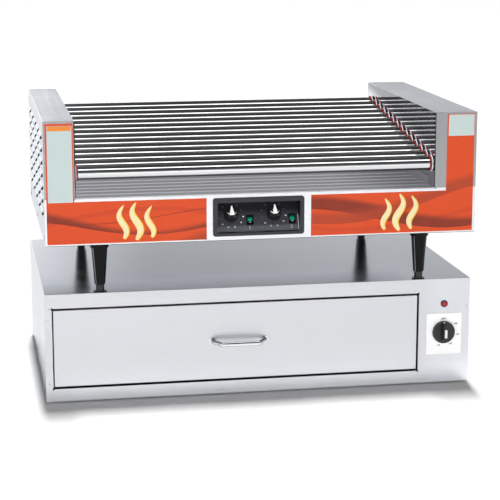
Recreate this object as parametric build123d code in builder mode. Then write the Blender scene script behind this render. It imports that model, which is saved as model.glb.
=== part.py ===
from build123d import *
import math
import os

os.makedirs("parts", exist_ok=True)

# =====================================================================
#  Slanted roller grill for hot dogs, standing on a drawer-type bun warmer
#  Millimetres.  +X right, +Y to the back, +Z up.
#  Origin: bottom centre of the whole object (floor level).
# =====================================================================

# ---- bun-warmer cabinet ----------------------------------------------
sheet = 1.2                    # body sheet
face_t = 1.5                   # front plates
cab_w = 928.0
cab_d = 577.0
cab_h = 234.5                  # sheet-metal body without feet
foot_h = 3.0
y_cf = -270.5                  # cabinet front face
y_cr = y_cf + cab_d            # cabinet rear edge
z_cb = foot_h
z_ct = foot_h + cab_h          # cabinet top surface
hw = cab_w / 2

# drawer opening in the cabinet front
op_x0, op_x1 = -448.7, 348.5
op_z0, op_z1 = 31.3, 206.0
draw_gap_left, draw_gap_right = 2.7, 3.5   # gaps round the drawer front
draw_gap_top, draw_gap_low = 3.6, 4.8
drawer_travel = 450.0
bay_x = 356.0                  # wall between drawer space and controls

# ---- grill ------------------------------------------------------------
grill_w = 919.0
grill_d = 590.0
grill_h = 259.5
leg_gap = 109.5                # cabinet top to grill base
y_gf = -302.5                  # grill front face
y_gr = y_gf + grill_d
z_gb = z_ct + leg_gap          # 347.0
z_gt = z_gb + grill_h          # 606.5
gw = grill_w / 2
left_in = -395.5               # visible face of the left bearing plate
right_in = 369.5               # visible face of the right bearing plate
plate_t = 1.5
col_in = left_in - 1.5         # inner edge of the left front column
band_h = 97.9                  # front band below the roller bed
deck_h = 99.4                  # drip tray floor above the grill base

# ---- rollers ------------------------------------------------------------
n_rollers = 14
roller_r = 14.3                # 1 1/8 in tube
roller_wall = 1.2
roller_pitch = 40.2
slant = math.radians(7.28)
y_r1, z_r1 = y_gf + 23.0, z_gb + 148.2
ring_r = 18.0                  # white rim of the seal
rim_t = 2.2
lip_r, lip_t = 16.1, 3.9       # red lip of the seal, towards the bed
flange_r = 15.9                # bushing flange behind the seal
flange_left, flange_right = 0.8, 3.0
run_fit = 0.05

# ---- drive: 6.35 mm pitch chain ---------------------------------------
chain_pitch = 6.35
z_roller = 17                  # teeth on each roller
z_motor = 14                   # teeth on the motor sprocket
chain_roller_r = 1.65
spr_x = 384.0                  # mid plane of all sprockets
spr_t = 2.8
motor_y, motor_z = -20.0, z_gb + 50.0

axes = [(y_r1 + i * roller_pitch * math.cos(slant),
         z_r1 + i * roller_pitch * math.sin(slant)) for i in range(n_rollers)]


def block(x0, x1, y0, y1, z0, z1, mode=Mode.ADD):
    """Box between two corners."""
    with Locations(((x0 + x1) / 2, (y0 + y1) / 2, (z0 + z1) / 2)):
        Box(abs(x1 - x0), abs(y1 - y0), abs(z1 - z0), mode=mode)


def rod_x(x0, x1, y, z, r, mode=Mode.ADD):
    with Locations(Location(((x0 + x1) / 2, y, z), (0, 90, 0))):
        Cylinder(r, abs(x1 - x0), mode=mode)


def rod_y(x, y0, y1, z, r, mode=Mode.ADD):
    with Locations(Location((x, (y0 + y1) / 2, z), (90, 0, 0))):
        Cylinder(r, abs(y1 - y0), mode=mode)


def rod_z(x, y, z0, z1, r, mode=Mode.ADD):
    with Locations(((x), (y), (z0 + z1) / 2)):
        Cylinder(r, abs(z1 - z0), mode=mode)


def front(y):
    """Plane facing the user at depth y; extrude(-t) goes to the back."""
    return Plane.XZ.offset(-y)


def side(x):
    """Plane facing +X; local x is Y, local y is Z."""
    return Plane.YZ.offset(x)


def save(part, name):
    part.label = name
    export_step(part, f"parts/{name}.step")


# =====================================================================
#  CABINET
# =====================================================================

# ---- wrap: top and two sides bent from one sheet -----------------------
with BuildPart() as cabinet_shell:
    with BuildSketch(front(y_cf + face_t)):
        with Locations((0, (z_cb + z_ct) / 2)):
            Rectangle(cab_w, cab_h)
        with Locations((0, (z_cb + z_ct - sheet) / 2)):
            Rectangle(cab_w - 2 * sheet, cab_h - sheet, mode=Mode.SUBTRACT)
    extrude(amount=-(cab_d - face_t))
    top_edges = cabinet_shell.edges().filter_by(Axis.Y).group_by(Axis.Z)[-1]
    fillet(top_edges, 1.1)
save(cabinet_shell.part, "cabinet_shell")

# ---- front frame with the drawer opening -------------------------------
knob_x, knob_z = 405.5, z_cb + 114.8
lamp_x = 406.5
lamp_z = z_cb + 178.2
with BuildPart() as cabinet_front_frame:
    with BuildSketch(front(y_cf)):
        with Locations((0, (z_cb + z_ct) / 2)):
            Rectangle(cab_w, cab_h)
        with Locations(((op_x0 + op_x1) / 2, (op_z0 + op_z1) / 2)):
            Rectangle(op_x1 - op_x0, op_z1 - op_z0, mode=Mode.SUBTRACT)
        with Locations((knob_x, knob_z)):
            Circle(5.0, mode=Mode.SUBTRACT)
        with Locations((lamp_x, lamp_z)):
            Circle(6.0, mode=Mode.SUBTRACT)
    extrude(amount=-face_t)
    # folded returns round the opening
    with BuildSketch(front(y_cf + face_t)):
        with Locations(((op_x0 + op_x1) / 2, (op_z0 + op_z1) / 2)):
            Rectangle(op_x1 - op_x0 + 2 * sheet, op_z1 - op_z0 + 2 * sheet)
            Rectangle(op_x1 - op_x0, op_z1 - op_z0, mode=Mode.SUBTRACT)
    extrude(amount=-13.0)
    # bend reliefs at the four corners
    for rx in (op_x0, op_x1):
        for rzz in (op_z0, op_z1):
            rod_y(rx, y_cf - 1, y_cf + face_t + 14, rzz, 2.3, mode=Mode.SUBTRACT)
    fillet(cabinet_front_frame.faces().sort_by(Axis.Y)[0].outer_wire().edges(), 0.6)
save(cabinet_front_frame.part, "cabinet_front_frame")

# ---- rear panel, set 2 mm inside the wrap's rear edge -------------------
y_crp = y_cr - 2.0 - sheet
inlet_x, inlet_cz, inlet_gz = 406.0, z_cb + 60.0, z_gb + 50.0
with BuildPart() as cabinet_rear_panel:
    block(-hw + sheet, hw - sheet, y_crp, y_crp + sheet, z_cb + sheet, z_ct - sheet)
    block(-hw + sheet, hw - sheet, y_crp - 10.0, y_crp, z_cb + sheet, z_cb + 2 * sheet)
    with BuildSketch(front(y_crp)):
        for vx in (-300, -100, 100):
            with Locations((vx, z_ct - 50)):
                with GridLocations(0, 12, 1, 4):
                    SlotOverall(120, 4)
        with Locations((inlet_x, inlet_cz)):
            Rectangle(27.0, 20.0)
    extrude(amount=-sheet, mode=Mode.SUBTRACT)
save(cabinet_rear_panel.part, "cabinet_rear_panel")

# ---- base ----------------------------------------------------------------
with BuildPart() as cabinet_base:
    block(-hw + sheet, hw - sheet, y_cf + face_t, y_cr - 2.0, z_cb, z_cb + sheet)
    block(-hw + sheet, -hw + 2 * sheet, y_cf + face_t, y_crp - 10, z_cb, z_cb + 16)
    block(hw - 2 * sheet, hw - sheet, y_cf + face_t, y_crp - 10, z_cb, z_cb + 16)
save(cabinet_base.part, "cabinet_base")

# ---- wall between the drawer space and the control bay -----------------
with BuildPart() as control_bay_wall:
    block(bay_x, bay_x + sheet, y_cf + face_t, y_crp - 10.5, z_cb + sheet, z_ct - sheet)
    block(bay_x + sheet, bay_x + 14, y_cf + 16, y_crp - 12, z_cb + sheet, z_cb + 2 * sheet)
    rod_x(bay_x - 1, bay_x + sheet + 1, 180.0, 22.0, 5.0, mode=Mode.SUBTRACT)
    rod_x(bay_x - 1, bay_x + sheet + 1, 120.0, 22.0, 5.0, mode=Mode.SUBTRACT)
save(control_bay_wall.part, "control_bay_wall")

# ---- rubber feet ----------------------------------------------------------
with BuildPart() as cabinet_feet:
    with Locations(*[(fx, fy, foot_h / 2) for fx in (-425, 425) for fy in (-235, 271)]):
        Cylinder(16, foot_h)
    chamfer(cabinet_feet.edges().group_by(Axis.Z)[0], 0.8)
save(cabinet_feet.part, "cabinet_feet")

# ---- telescopic slides, three members each side --------------------------
rail_z = 100.0
rail_y0, rail_y1 = -246.0, 254.0
with BuildPart() as drawer_outer_rails:
    # left: C-channel on a stand-off bracket, right: on the bay wall
    for s, x_web in ((1, -444.0), (-1, 346.0)):
        block(x_web, x_web + s * 1.4, rail_y0, rail_y1, rail_z - 22.5, rail_z + 22.5)
        block(x_web, x_web + s * 11.0, rail_y0, rail_y1, rail_z - 22.5, rail_z - 21.1)
        block(x_web, x_web + s * 11.0, rail_y0, rail_y1, rail_z + 21.1, rail_z + 22.5)
    for yb in (-200.0, 0.0, 200.0):
        block(-hw + sheet, -444.0, yb - 20, yb + 20, rail_z - 18, rail_z + 18)
        block(346.0, bay_x, yb - 20, yb + 20, rail_z - 18, rail_z + 18)
save(drawer_outer_rails.part, "drawer_outer_rails")

with BuildPart() as drawer_middle_rails:
    for s, x_web in ((1, -442.1), (-1, 344.1)):
        block(x_web, x_web + s * 1.4, rail_y0, rail_y1, rail_z - 19.5, rail_z + 19.5)
        block(x_web, x_web + s * 9.0, rail_y0, rail_y1, rail_z - 19.5, rail_z - 18.1)
        block(x_web, x_web + s * 9.0, rail_y0, rail_y1, rail_z + 18.1, rail_z + 19.5)
save(drawer_middle_rails.part, "drawer_middle_rails")

box_x0, box_x1 = -430.5, 332.5          # outside of the drawer box
with BuildPart() as drawer_inner_rails:
    for s, x_web in ((-1, box_x0), (1, box_x1)):
        block(x_web, x_web + s * 1.4, rail_y0, rail_y1, rail_z - 16, rail_z + 16)
        block(x_web, x_web + s * 8.5, rail_y0, rail_y1, rail_z - 16, rail_z - 14.6)
        block(x_web, x_web + s * 8.5, rail_y0, rail_y1, rail_z + 14.6, rail_z + 16)
save(drawer_inner_rails.part, "drawer_inner_rails")

# ---- drawer box, open on top ----------------------------------------------
df_x0, df_x1 = op_x0 + draw_gap_left, op_x1 - draw_gap_right
df_z0, df_z1 = op_z0 + draw_gap_low, op_z1 - draw_gap_top
df_depth = 20.0
box_y0, box_y1 = y_cf + df_depth, 279.0
box_z0, box_z1 = 44.0, 190.0
with BuildPart() as drawer_box:
    block(box_x0, box_x1, box_y0, box_y1, box_z0, box_z1)
    block(box_x0 + sheet, box_x1 - sheet, box_y0 + sheet, box_y1 - sheet,
          box_z0 + sheet, box_z1 + 1, mode=Mode.SUBTRACT)
    # inner skin that closes the hollow drawer front
    block(df_x0 + sheet, df_x1 - sheet, box_y0 - sheet, box_y0, df_z0 + sheet, df_z1 - sheet)
    # rolled rim on the side and rear walls
    block(box_x0 + sheet, box_x0 + 8, box_y0 + sheet, box_y1 - sheet, box_z1 - sheet, box_z1)
    block(box_x1 - 8, box_x1 - sheet, box_y0 + sheet, box_y1 - sheet, box_z1 - sheet, box_z1)
    block(box_x0 + sheet, box_x1 - sheet, box_y1 - 8, box_y1 - sheet, box_z1 - sheet, box_z1)
    # humidity vents low in the rear wall
    with BuildSketch(front(box_y1 - sheet)):
        with Locations(((box_x0 + box_x1) / 2, box_z0 + 30)):
            with GridLocations(60, 14, 9, 2):
                SlotOverall(34, 5)
    extrude(amount=-sheet, mode=Mode.SUBTRACT)
save(drawer_box.part, "drawer_box")

# ---- hollow drawer front --------------------------------------------------
with BuildPart() as drawer_front:
    block(df_x0, df_x1, y_cf, y_cf + df_depth, df_z0, df_z1)
    fillet(drawer_front.faces().sort_by(Axis.Y)[0].edges(), 0.8)
    block(df_x0 + sheet, df_x1 - sheet, y_cf + sheet, y_cf + df_depth + 1,
          df_z0 + sheet, df_z1 - sheet, mode=Mode.SUBTRACT)
save(drawer_front.part, "drawer_front")

# ---- bow handle ------------------------------------------------------------
hx, hz = -50.5, 120.3
h_half, h_bar, h_out = 57.0, 40.0, 30.5
with BuildPart() as drawer_handle:
    with BuildLine(Plane.XY.offset(hz)) as bow:
        FilletPolyline((hx - h_half, y_cf), (hx - h_half, y_cf - 7.0),
                       (hx - h_bar, y_cf - h_out), (hx + h_bar, y_cf - h_out),
                       (hx + h_half, y_cf - 7.0), (hx + h_half, y_cf), radius=6.5)
    with BuildSketch(front(y_cf)) as bow_section:
        with Locations((hx - h_half, hz)):
            Ellipse(4.2, 5.4)
    sweep(path=bow.wires()[0])
    for s in (-1, 1):
        with Locations(Location((hx + s * h_half, y_cf - 1.0, hz), (90, 0, 0))):
            Cylinder(7.5, 2.0)
save(drawer_handle.part, "drawer_handle")

# ---- heating element under the drawer ----------------------------------------
with BuildPart() as warming_element:
    ze = 22.0
    with BuildLine(Plane.XY.offset(ze)) as el_path:
        FilletPolyline((bay_x + 22, 180), (-390, 180), (-390, -200), (-250, -200), (-250, 100),
                       (-90, 100), (-90, -200), (80, -200), (80, 100), (230, 100),
                       (230, -200), (320, -200), (320, 120), (bay_x + 22, 120), radius=16)
    with BuildSketch(Plane(origin=(bay_x + 22, 180, ze), x_dir=(0, 1, 0), z_dir=(-1, 0, 0))):
        Circle(4.0)
    sweep(path=el_path.wires()[0])
    # support clips standing on the base
    for cx, cy in ((-390, 0), (-250, -60), (-90, -60), (80, -60), (230, -60), (320, 60)):
        block(cx - 8, cx + 8, cy - 5, cy + 5, z_cb + sheet, ze - 2.5)
save(warming_element.part, "warming_element")

# ---- thermostat behind the cabinet front ---------------------------------------
with BuildPart() as thermostat_body:
    block(knob_x - 24, knob_x + 24, y_cf + face_t, y_cf + face_t + 34, knob_z - 20, knob_z + 20)
    fillet(thermostat_body.edges().filter_by(Axis.Y), 3)
    rod_y(knob_x, y_cf + face_t - 1, y_cf + face_t + 16, knob_z, 3.0 + run_fit, mode=Mode.SUBTRACT)
    block(knob_x - 20, knob_x - 14, y_cf + face_t + 34, y_cf + face_t + 44, knob_z - 4, knob_z + 4)
    block(knob_x + 14, knob_x + 20, y_cf + face_t + 34, y_cf + face_t + 44, knob_z - 4, knob_z + 4)
save(thermostat_body.part, "thermostat_body")

plate_y = y_cf - 0.8
with BuildPart() as thermostat_dial_plate:
    with BuildSketch(front(plate_y)):
        with Locations(((367.8 + 446.4) / 2, z_cb + 110.2)):
            RectangleRounded(78.6, 92.0, 1.5)
        with Locations((knob_x, knob_z)):
            Circle(5.0, mode=Mode.SUBTRACT)
    extrude(amount=-0.8)
save(thermostat_dial_plate.part, "thermostat_dial_plate")

with BuildPart() as thermostat_knob:
    # skirt disc, tapered body and finger bar on one axis
    with BuildSketch(Plane(origin=(knob_x, plate_y - 0.6, knob_z), x_dir=(1, 0, 0), z_dir=(0, -1, 0))):
        Circle(25.0)
    extrude(amount=7.0, taper=5)
    with BuildSketch(Plane(origin=(knob_x, plate_y - 7.6, knob_z), x_dir=(1, 0, 0), z_dir=(0, -1, 0))):
        SlotOverall(40.0, 13.0, rotation=90)
    extrude(amount=15.0, taper=6)
    fillet(thermostat_knob.faces().sort_by(Axis.Y)[0].edges(), 1.2)
    rod_y(knob_x, y_cf + face_t + 14, plate_y - 4, knob_z, 3.0)
save(thermostat_knob.part, "thermostat_knob")

with BuildPart() as pilot_lamp:
    rod_y(lamp_x, y_cf - 2.0, y_cf, lamp_z, 7.8)
    with Locations(Location((lamp_x, y_cf - 2.0, lamp_z), (90, 0, 0))):
        Cone(6.4, 4.6, 3.0, align=(Align.CENTER, Align.CENTER, Align.MIN))
    rod_y(lamp_x, y_cf, y_cf + 24, lamp_z, 6.0)
    rod_y(lamp_x, y_cf + face_t, y_cf + face_t + 4, lamp_z, 8.5)
save(pilot_lamp.part, "pilot_lamp")

# ---- recessed power inlets, one for each unit -----------------------------------
with BuildPart() as power_inlets:
    for ix, iy, iz in ((inlet_x, y_crp, inlet_cz), (inlet_x - 90, y_gr - plate_t, inlet_gz)):
        block(ix - 13.5, ix + 13.5, iy - 20, iy + plate_t - 0.3, iz - 10, iz + 10)
        block(ix - 20, ix + 20, iy - 2.5, iy, iz - 14, iz + 14)
        block(ix - 11.5, ix + 11.5, iy - 16, iy + 5, iz - 8, iz + 8, mode=Mode.SUBTRACT)
        for px, pz in ((-7, -2.5), (7, -2.5), (0, 2.5)):
            block(ix + px - 1, ix + px + 1, iy - 17, iy - 2, iz + pz - 2, iz + pz + 2)
save(power_inlets.part, "power_inlets")

# =====================================================================
#  GRILL: BODY
# =====================================================================

# ---- legs and feet -------------------------------------------------------------
leg_xy = [(-345.0, y_gf + 46.0), (350.0, y_gf + 46.0), (-345.0, y_gf + 560.0), (350.0, y_gf + 560.0)]
leg_foot_h = 16.5
with BuildPart() as grill_legs:
    for lx, ly in leg_xy:
        with BuildSketch(Plane(origin=(lx, ly, z_ct + leg_foot_h))):
            Circle(11.5)
        with BuildSketch(Plane(origin=(lx, ly, z_gb - 4))):
            Circle(18.0)
        loft()
        rod_z(lx, ly, z_gb - 4, z_gb, 18.6)
    fillet(grill_legs.edges().group_by(Axis.Z)[0], 0.8)
save(grill_legs.part, "grill_legs")

with BuildPart() as leg_feet:
    for lx, ly in leg_xy:
        rod_z(lx, ly, z_ct, z_ct + 2.2, 14.0)
        rod_z(lx, ly, z_ct + 2.2, z_ct + leg_foot_h, 9.0)
    fillet(leg_feet.edges().filter_by(GeomType.CIRCLE).group_by(Axis.Z)[1], 0.9)
save(leg_feet.part, "leg_feet")

# ---- base pan -----------------------------------------------------------------
with BuildPart() as grill_base_pan:
    block(-gw + sheet, gw - sheet, y_gf + face_t, y_gr - plate_t, z_gb, z_gb + plate_t)
    with BuildSketch(Plane.XY.offset(z_gb)):
        for vx in (-250, -100, 50):
            with Locations((vx, 60)):
                with GridLocations(0, 14, 1, 6):
                    SlotOverall(90, 5)
    extrude(amount=plate_t, mode=Mode.SUBTRACT)
save(grill_base_pan.part, "grill_base_pan")

# ---- front panel: two columns and the band between them --------------------------
bez_x0, bez_x1 = -110.4, 84.6
bez_z0, bez_z1 = z_gb + 9.0, z_gb + 90.5
pock_x0, pock_x1 = -100.5, 75.5
pock_z0, pock_z1 = z_gb + 15.5, z_gb + 80.5
bw = 1.5                               # wall of the control pocket
bez_out = 4.0                          # bezel rim in front of the panel
with BuildPart() as grill_front_panel:
    with BuildSketch(front(y_gf)):
        with BuildLine():
            Polyline((-gw, z_gb), (gw, z_gb), (gw, z_gt), (right_in, z_gt),
                     (right_in, z_gb + band_h), (col_in, z_gb + band_h),
                     (col_in, z_gt), (-gw, z_gt), close=True)
        make_face()
        with Locations(((pock_x0 + pock_x1) / 2, (pock_z0 + pock_z1) / 2)):
            Rectangle(pock_x1 - pock_x0 + 2 * bw, pock_z1 - pock_z0 + 2 * bw, mode=Mode.SUBTRACT)
    extrude(amount=-face_t)
    # bend reliefs where the columns meet the band
    rod_y(col_in - 0.8, y_gf - 1, y_gf + face_t + 1, z_gb + band_h, 2.0, mode=Mode.SUBTRACT)
    rod_y(right_in + 0.8, y_gf - 1, y_gf + face_t + 1, z_gb + band_h, 2.0, mode=Mode.SUBTRACT)
    # top return of the band, the ledge under the tray's front edge
    block(left_in + 3, right_in - 3, y_gf + face_t, y_gf + 13, z_gb + band_h - face_t, z_gb + band_h)
save(grill_front_panel.part, "grill_front_panel")

# ---- rear panel ------------------------------------------------------------------
rear_h = 193.0
with BuildPart() as grill_rear_panel:
    block(left_in, right_in, y_gr - plate_t, y_gr, z_gb, z_gb + rear_h)
    block(left_in, right_in, y_gr - 16, y_gr - plate_t, z_gb + rear_h - plate_t, z_gb + rear_h)
    with BuildSketch(front(y_gr - plate_t)):
        with Locations((inlet_x - 90, inlet_gz)):
            Rectangle(27.0, 20.0)
        for vx in (-260, -110, 40):
            with Locations((vx, z_gb + 55)):
                with GridLocations(0, 12, 1, 4):
                    SlotOverall(110, 4)
    extrude(amount=-plate_t, mode=Mode.SUBTRACT)
save(grill_rear_panel.part, "grill_rear_panel")

# ---- bearing plates ----------------------------------------------------------------
with BuildPart() as left_bearing_plate:
    block(left_in - plate_t, left_in, y_gf + face_t, y_gr - sheet, z_gb + plate_t, z_gt - sheet)
    for ya, za in axes:
        rod_x(left_in - 3, left_in + 2, ya, za, 17.0, mode=Mode.SUBTRACT)
save(left_bearing_plate.part, "left_bearing_plate")

with BuildPart() as right_bearing_plate:
    block(right_in, right_in + plate_t, y_gf + face_t, y_gr - sheet, z_gb + plate_t, z_gt - sheet)
    for ya, za in axes:
        rod_x(right_in - 2, right_in + 4, ya, za, 17.0, mode=Mode.SUBTRACT)
    rod_x(right_in - 2, right_in + 4, motor_y, motor_z, 12.0, mode=Mode.SUBTRACT)
save(right_bearing_plate.part, "right_bearing_plate")

# ---- end covers: side, top and rear in one sheet, with pressed louvres ----------
louv_l, louv_h, louv_out = 78.0, 8.8, 4.2      # length, height, how far they stand out
louv_cols = [47.0 + 107.0 * k for k in range(5)]           # front ends, from the front face
louv_rows = [z_gb + 62.3 + 26.6 * k for k in range(7)]


def louvre_skin(s, zc):
    """Section of one louvre: a bulged sheet from the wall down to a free lower lip."""
    w = s * gw
    return [(w - s * 0.6, zc + 4.6), (w, zc + 4.6), (w + s * 2.7, zc + 0.9), (w + s * louv_out, zc - 4.2),
            (w + s * (louv_out - 1.0), zc - 4.2), (w + s * 1.8, zc + 0.5), (w - s * 0.6, zc + 2.9)]


def louvre_end(s, zc):
    """Section of the closed rear end of one louvre."""
    w = s * gw
    return [(w - s * 0.6, zc + 4.6), (w, zc + 4.6), (w + s * 2.7, zc + 0.9), (w + s * louv_out, zc - 4.2),
            (w - s * 0.6, zc - 4.2)]


with BuildPart() as left_end_cover:
    block(-gw, left_in, y_gf + face_t, y_gr, z_gb, z_gt)
    fillet(left_end_cover.edges().filter_by(Axis.Y).group_by(Axis.Z)[-1].sort_by(Axis.X)[0], 2.0)
    block(-gw + sheet, left_in + 1, y_gf - 5, y_gr - sheet, z_gb - 1, z_gt - sheet, mode=Mode.SUBTRACT)
    with BuildSketch(side(-gw)):
        for sy in louv_cols:
            for sz in louv_rows:
                with Locations((y_gf + sy + louv_l / 2 - 0.5, sz - 0.65)):
                    Rectangle(louv_l - 3.0, 7.1)
    extrude(amount=sheet, mode=Mode.SUBTRACT)
    for sy in louv_cols:
        with BuildSketch(front(y_gf + sy)):
            for sz in louv_rows:
                with BuildLine():
                    Polyline(*louvre_skin(-1, sz), close=True)
                make_face()
        extrude(amount=-louv_l)
        with BuildSketch(front(y_gf + sy + louv_l - 1.0)):
            for sz in louv_rows:
                with BuildLine():
                    Polyline(*louvre_end(-1, sz), close=True)
                make_face()
        extrude(amount=-1.0)
save(left_end_cover.part, "left_end_cover")

with BuildPart() as right_end_cover:
    block(right_in, gw, y_gf + face_t, y_gr, z_gb, z_gt)
    fillet(right_end_cover.edges().filter_by(Axis.Y).group_by(Axis.Z)[-1].sort_by(Axis.X)[-1], 2.0)
    block(right_in - 1, gw - sheet, y_gf - 5, y_gr - sheet, z_gb - 1, z_gt - sheet, mode=Mode.SUBTRACT)
    with BuildSketch(side(gw - sheet)):
        for sy in louv_cols:
            for sz in louv_rows:
                with Locations((y_gf + sy + louv_l / 2 - 0.5, sz - 0.65)):
                    Rectangle(louv_l - 3.0, 7.1)
    extrude(amount=sheet, mode=Mode.SUBTRACT)
    for sy in louv_cols:
        with BuildSketch(front(y_gf + sy)):
            for sz in louv_rows:
                with BuildLine():
                    Polyline(*louvre_skin(1, sz), close=True)
                make_face()
        extrude(amount=-louv_l)
        with BuildSketch(front(y_gf + sy + louv_l - 1.0)):
            for sz in louv_rows:
                with BuildLine():
                    Polyline(*louvre_end(1, sz), close=True)
                make_face()
        extrude(amount=-1.0)
save(right_end_cover.part, "right_end_cover")

# ---- screws: end covers, rear panels ------------------------------------------------
with BuildPart() as cover_screws:
    for s, xf in ((-1, -gw), (1, gw)):
        for ys in (y_gf + 30, y_gf + 290, y_gf + 560):
            with Locations(Location((xf + s * 0.9, ys, z_gb + 14), (0, 90, 0))):
                Cylinder(3.6, 1.8)
    for xs in (-440, -150, 150, 440):
        for zs in (z_cb + 12, z_ct - 12):
            with Locations(Location((xs, y_crp + sheet + 0.9, zs), (90, 0, 0))):
                Cylinder(3.6, 1.8)
    for xs in (-370, 0, 345):
        for zs in (z_gb + 14, z_gb + 175):
            with Locations(Location((xs, y_gr + 0.9, zs), (90, 0, 0))):
                Cylinder(3.6, 1.8)
save(cover_screws.part, "cover_screws")

# ---- drip tray and its rails ------------------------------------------------------------
tray_z = z_gb + deck_h
tray_y0, tray_y1 = y_gf + 0.5, y_gf + 560.0
tray_x0, tray_x1 = left_in + 0.5, right_in - 0.5
with BuildPart() as drip_tray:
    block(tray_x0, tray_x1, tray_y0, tray_y1, tray_z - sheet, tray_z)
    block(tray_x0, tray_x0 + sheet, tray_y0 + 50, tray_y1, tray_z, tray_z + 16)
    block(tray_x1 - sheet, tray_x1, tray_y0 + 50, tray_y1, tray_z, tray_z + 16)
    block(tray_x0, tray_x1, tray_y1 - sheet, tray_y1, tray_z, tray_z + 16)
    fillet(drip_tray.edges().filter_by(Axis.X).group_by(Axis.Y)[0].sort_by(Axis.Z)[-1], 0.5)
save(drip_tray.part, "drip_tray")

with BuildPart() as tray_rails:
    rz = tray_z - sheet - 0.2
    for s, xw in ((1, left_in), (-1, right_in)):
        block(xw, xw + s * 16, y_gf + 14, y_gf + 562, rz - 1.5, rz)
        block(xw, xw + s * 1.5, y_gf + 14, y_gf + 562, rz - 10, rz - 1.5)
save(tray_rails.part, "tray_rails")

# =====================================================================
#  GRILL: ROLLERS AND DRIVE
# =====================================================================

pr_roller = chain_pitch / (2 * math.sin(math.pi / z_roller))
pr_motor = chain_pitch / (2 * math.sin(math.pi / z_motor))


def tooth_cut(teeth, pr):
    """Centres of the chain-roller seats on the pitch circle."""
    return [(pr * math.cos(2 * math.pi * k / teeth), pr * math.sin(2 * math.pi * k / teeth))
            for k in range(teeth)]


tip_roller = pr_roller + 1.6
tip_motor = pr_motor + 1.6
tube_l, tube_r = left_in - 10.0, spr_x + spr_t / 2

for i, (ya, za) in enumerate(axes):
    with BuildPart() as roller:
        with BuildSketch(Plane(origin=(tube_l, ya, za), x_dir=(0, 1, 0), z_dir=(1, 0, 0))):
            Circle(roller_r)
        extrude(amount=tube_r - tube_l)
        with BuildSketch(Plane(origin=(spr_x - spr_t / 2, ya, za), x_dir=(0, 1, 0), z_dir=(1, 0, 0))):
            Circle(tip_roller)
            with Locations(*tooth_cut(z_roller, pr_roller + 0.35)):
                Circle(chain_roller_r + 0.35, mode=Mode.SUBTRACT)
        extrude(amount=spr_t)
        with BuildSketch(Plane(origin=(tube_l, ya, za), x_dir=(0, 1, 0), z_dir=(1, 0, 0))):
            Circle(roller_r - roller_wall)
        extrude(amount=tube_r - tube_l, mode=Mode.SUBTRACT)
    save(roller.part, f"roller_{i + 1:02d}")

with BuildPart() as roller_bushings:
    for ya, za in axes:
        for s, xw, ft in ((1, left_in, flange_left), (-1, right_in, flange_right)):
            rod_x(xw - s * 5.5, xw, ya, za, 17.0)
            rod_x(xw, xw + s * ft, ya, za, flange_r)
            rod_x(xw - s * 6.5, xw + s * (ft + 1), ya, za, roller_r + run_fit, mode=Mode.SUBTRACT)
save(roller_bushings.part, "roller_bushings")

with BuildPart() as roller_seals:
    for ya, za in axes:
        for s, xw in ((1, left_in + flange_left), (-1, right_in - flange_right)):
            rod_x(xw, xw + s * rim_t, ya, za, ring_r)
            rod_x(xw, xw + s * (rim_t + lip_t), ya, za, lip_r)
            rod_x(xw - s, xw + s * (rim_t + lip_t + 1), ya, za, roller_r + 0.3, mode=Mode.SUBTRACT)
save(roller_seals.part, "roller_seals")

# ---- stationary heater rods on the roller axes ------------------------------------------
bar_l, bar_r = -423.5, 402.0             # inner faces of the clamp bars
with BuildPart() as heater_rods:
    for ya, za in axes:
        rod_x(-434.0, 412.0, ya, za, 4.0)
        rod_x(-441.0, -434.0, ya, za, 1.6)
        rod_x(412.0, 419.0, ya, za, 1.6)
save(heater_rods.part, "heater_rods")

along = (math.cos(slant), math.sin(slant))
upward = (-math.sin(slant), math.cos(slant))


def on_bed(a, u):
    """Point at distance a along the roller line and u above it, as (y, z)."""
    return (y_r1 + a * along[0] + u * upward[0], z_r1 + a * along[1] + u * upward[1])


bed_len = roller_pitch * (n_rollers - 1)
with BuildPart() as heater_rod_clamps:
    for xa, thick in ((bar_l, -1.5), (bar_r, 1.5)):
        with BuildSketch(side(xa)):
            with BuildLine():
                Polyline(on_bed(-10, -9), on_bed(bed_len + 14, -9), on_bed(bed_len + 14, 36),
                         on_bed(-10, 36), close=True)
            make_face()
            with Locations(*axes):
                Circle(4.0, mode=Mode.SUBTRACT)
        extrude(amount=thick)
    for k in (1.5, 6.5, 11.5):
        yp, zp = on_bed(k * roller_pitch, 29)
        rod_x(right_in + plate_t, bar_r, yp, zp, 4.5)
        rod_x(bar_l, left_in - plate_t, yp, zp, 4.5)
save(heater_rod_clamps.part, "heater_rod_clamps")

# ---- chain: two side-plate bands round the first, last and motor sprockets -------------
wheels = [(axes[0][0], axes[0][1], pr_roller), (motor_y, motor_z, pr_motor),
          (axes[-1][0], axes[-1][1], pr_roller)]


def tangents(a, b, grow):
    """Outer tangent points of two wheels, belt on the right of a to b."""
    ra, rb = a[2] + grow, b[2] + grow
    dx, dy = b[0] - a[0], b[1] - a[1]
    length = math.hypot(dx, dy)
    ux, uy = dx / length, dy / length
    c = (ra - rb) / length
    s = math.sqrt(1 - c * c)
    nx, ny = c * ux + s * uy, c * uy - s * ux
    return (a[0] + ra * nx, a[1] + ra * ny), (b[0] + rb * nx, b[1] + rb * ny), (nx, ny)


def belt(grow):
    """Corner data of the closed belt line: straight ends and arc midpoints."""
    runs = [tangents(wheels[k], wheels[(k + 1) % 3], grow) for k in range(3)]
    mids = []
    for k in range(3):
        w = wheels[(k + 1) % 3]
        n1, n2 = runs[k][2], runs[(k + 1) % 3][2]
        mx, my = n1[0] + n2[0], n1[1] + n2[1]
        m = math.hypot(mx, my)
        r = w[2] + grow
        mids.append((w[0] + r * mx / m, w[1] + r * my / m))
    return runs, mids


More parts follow.
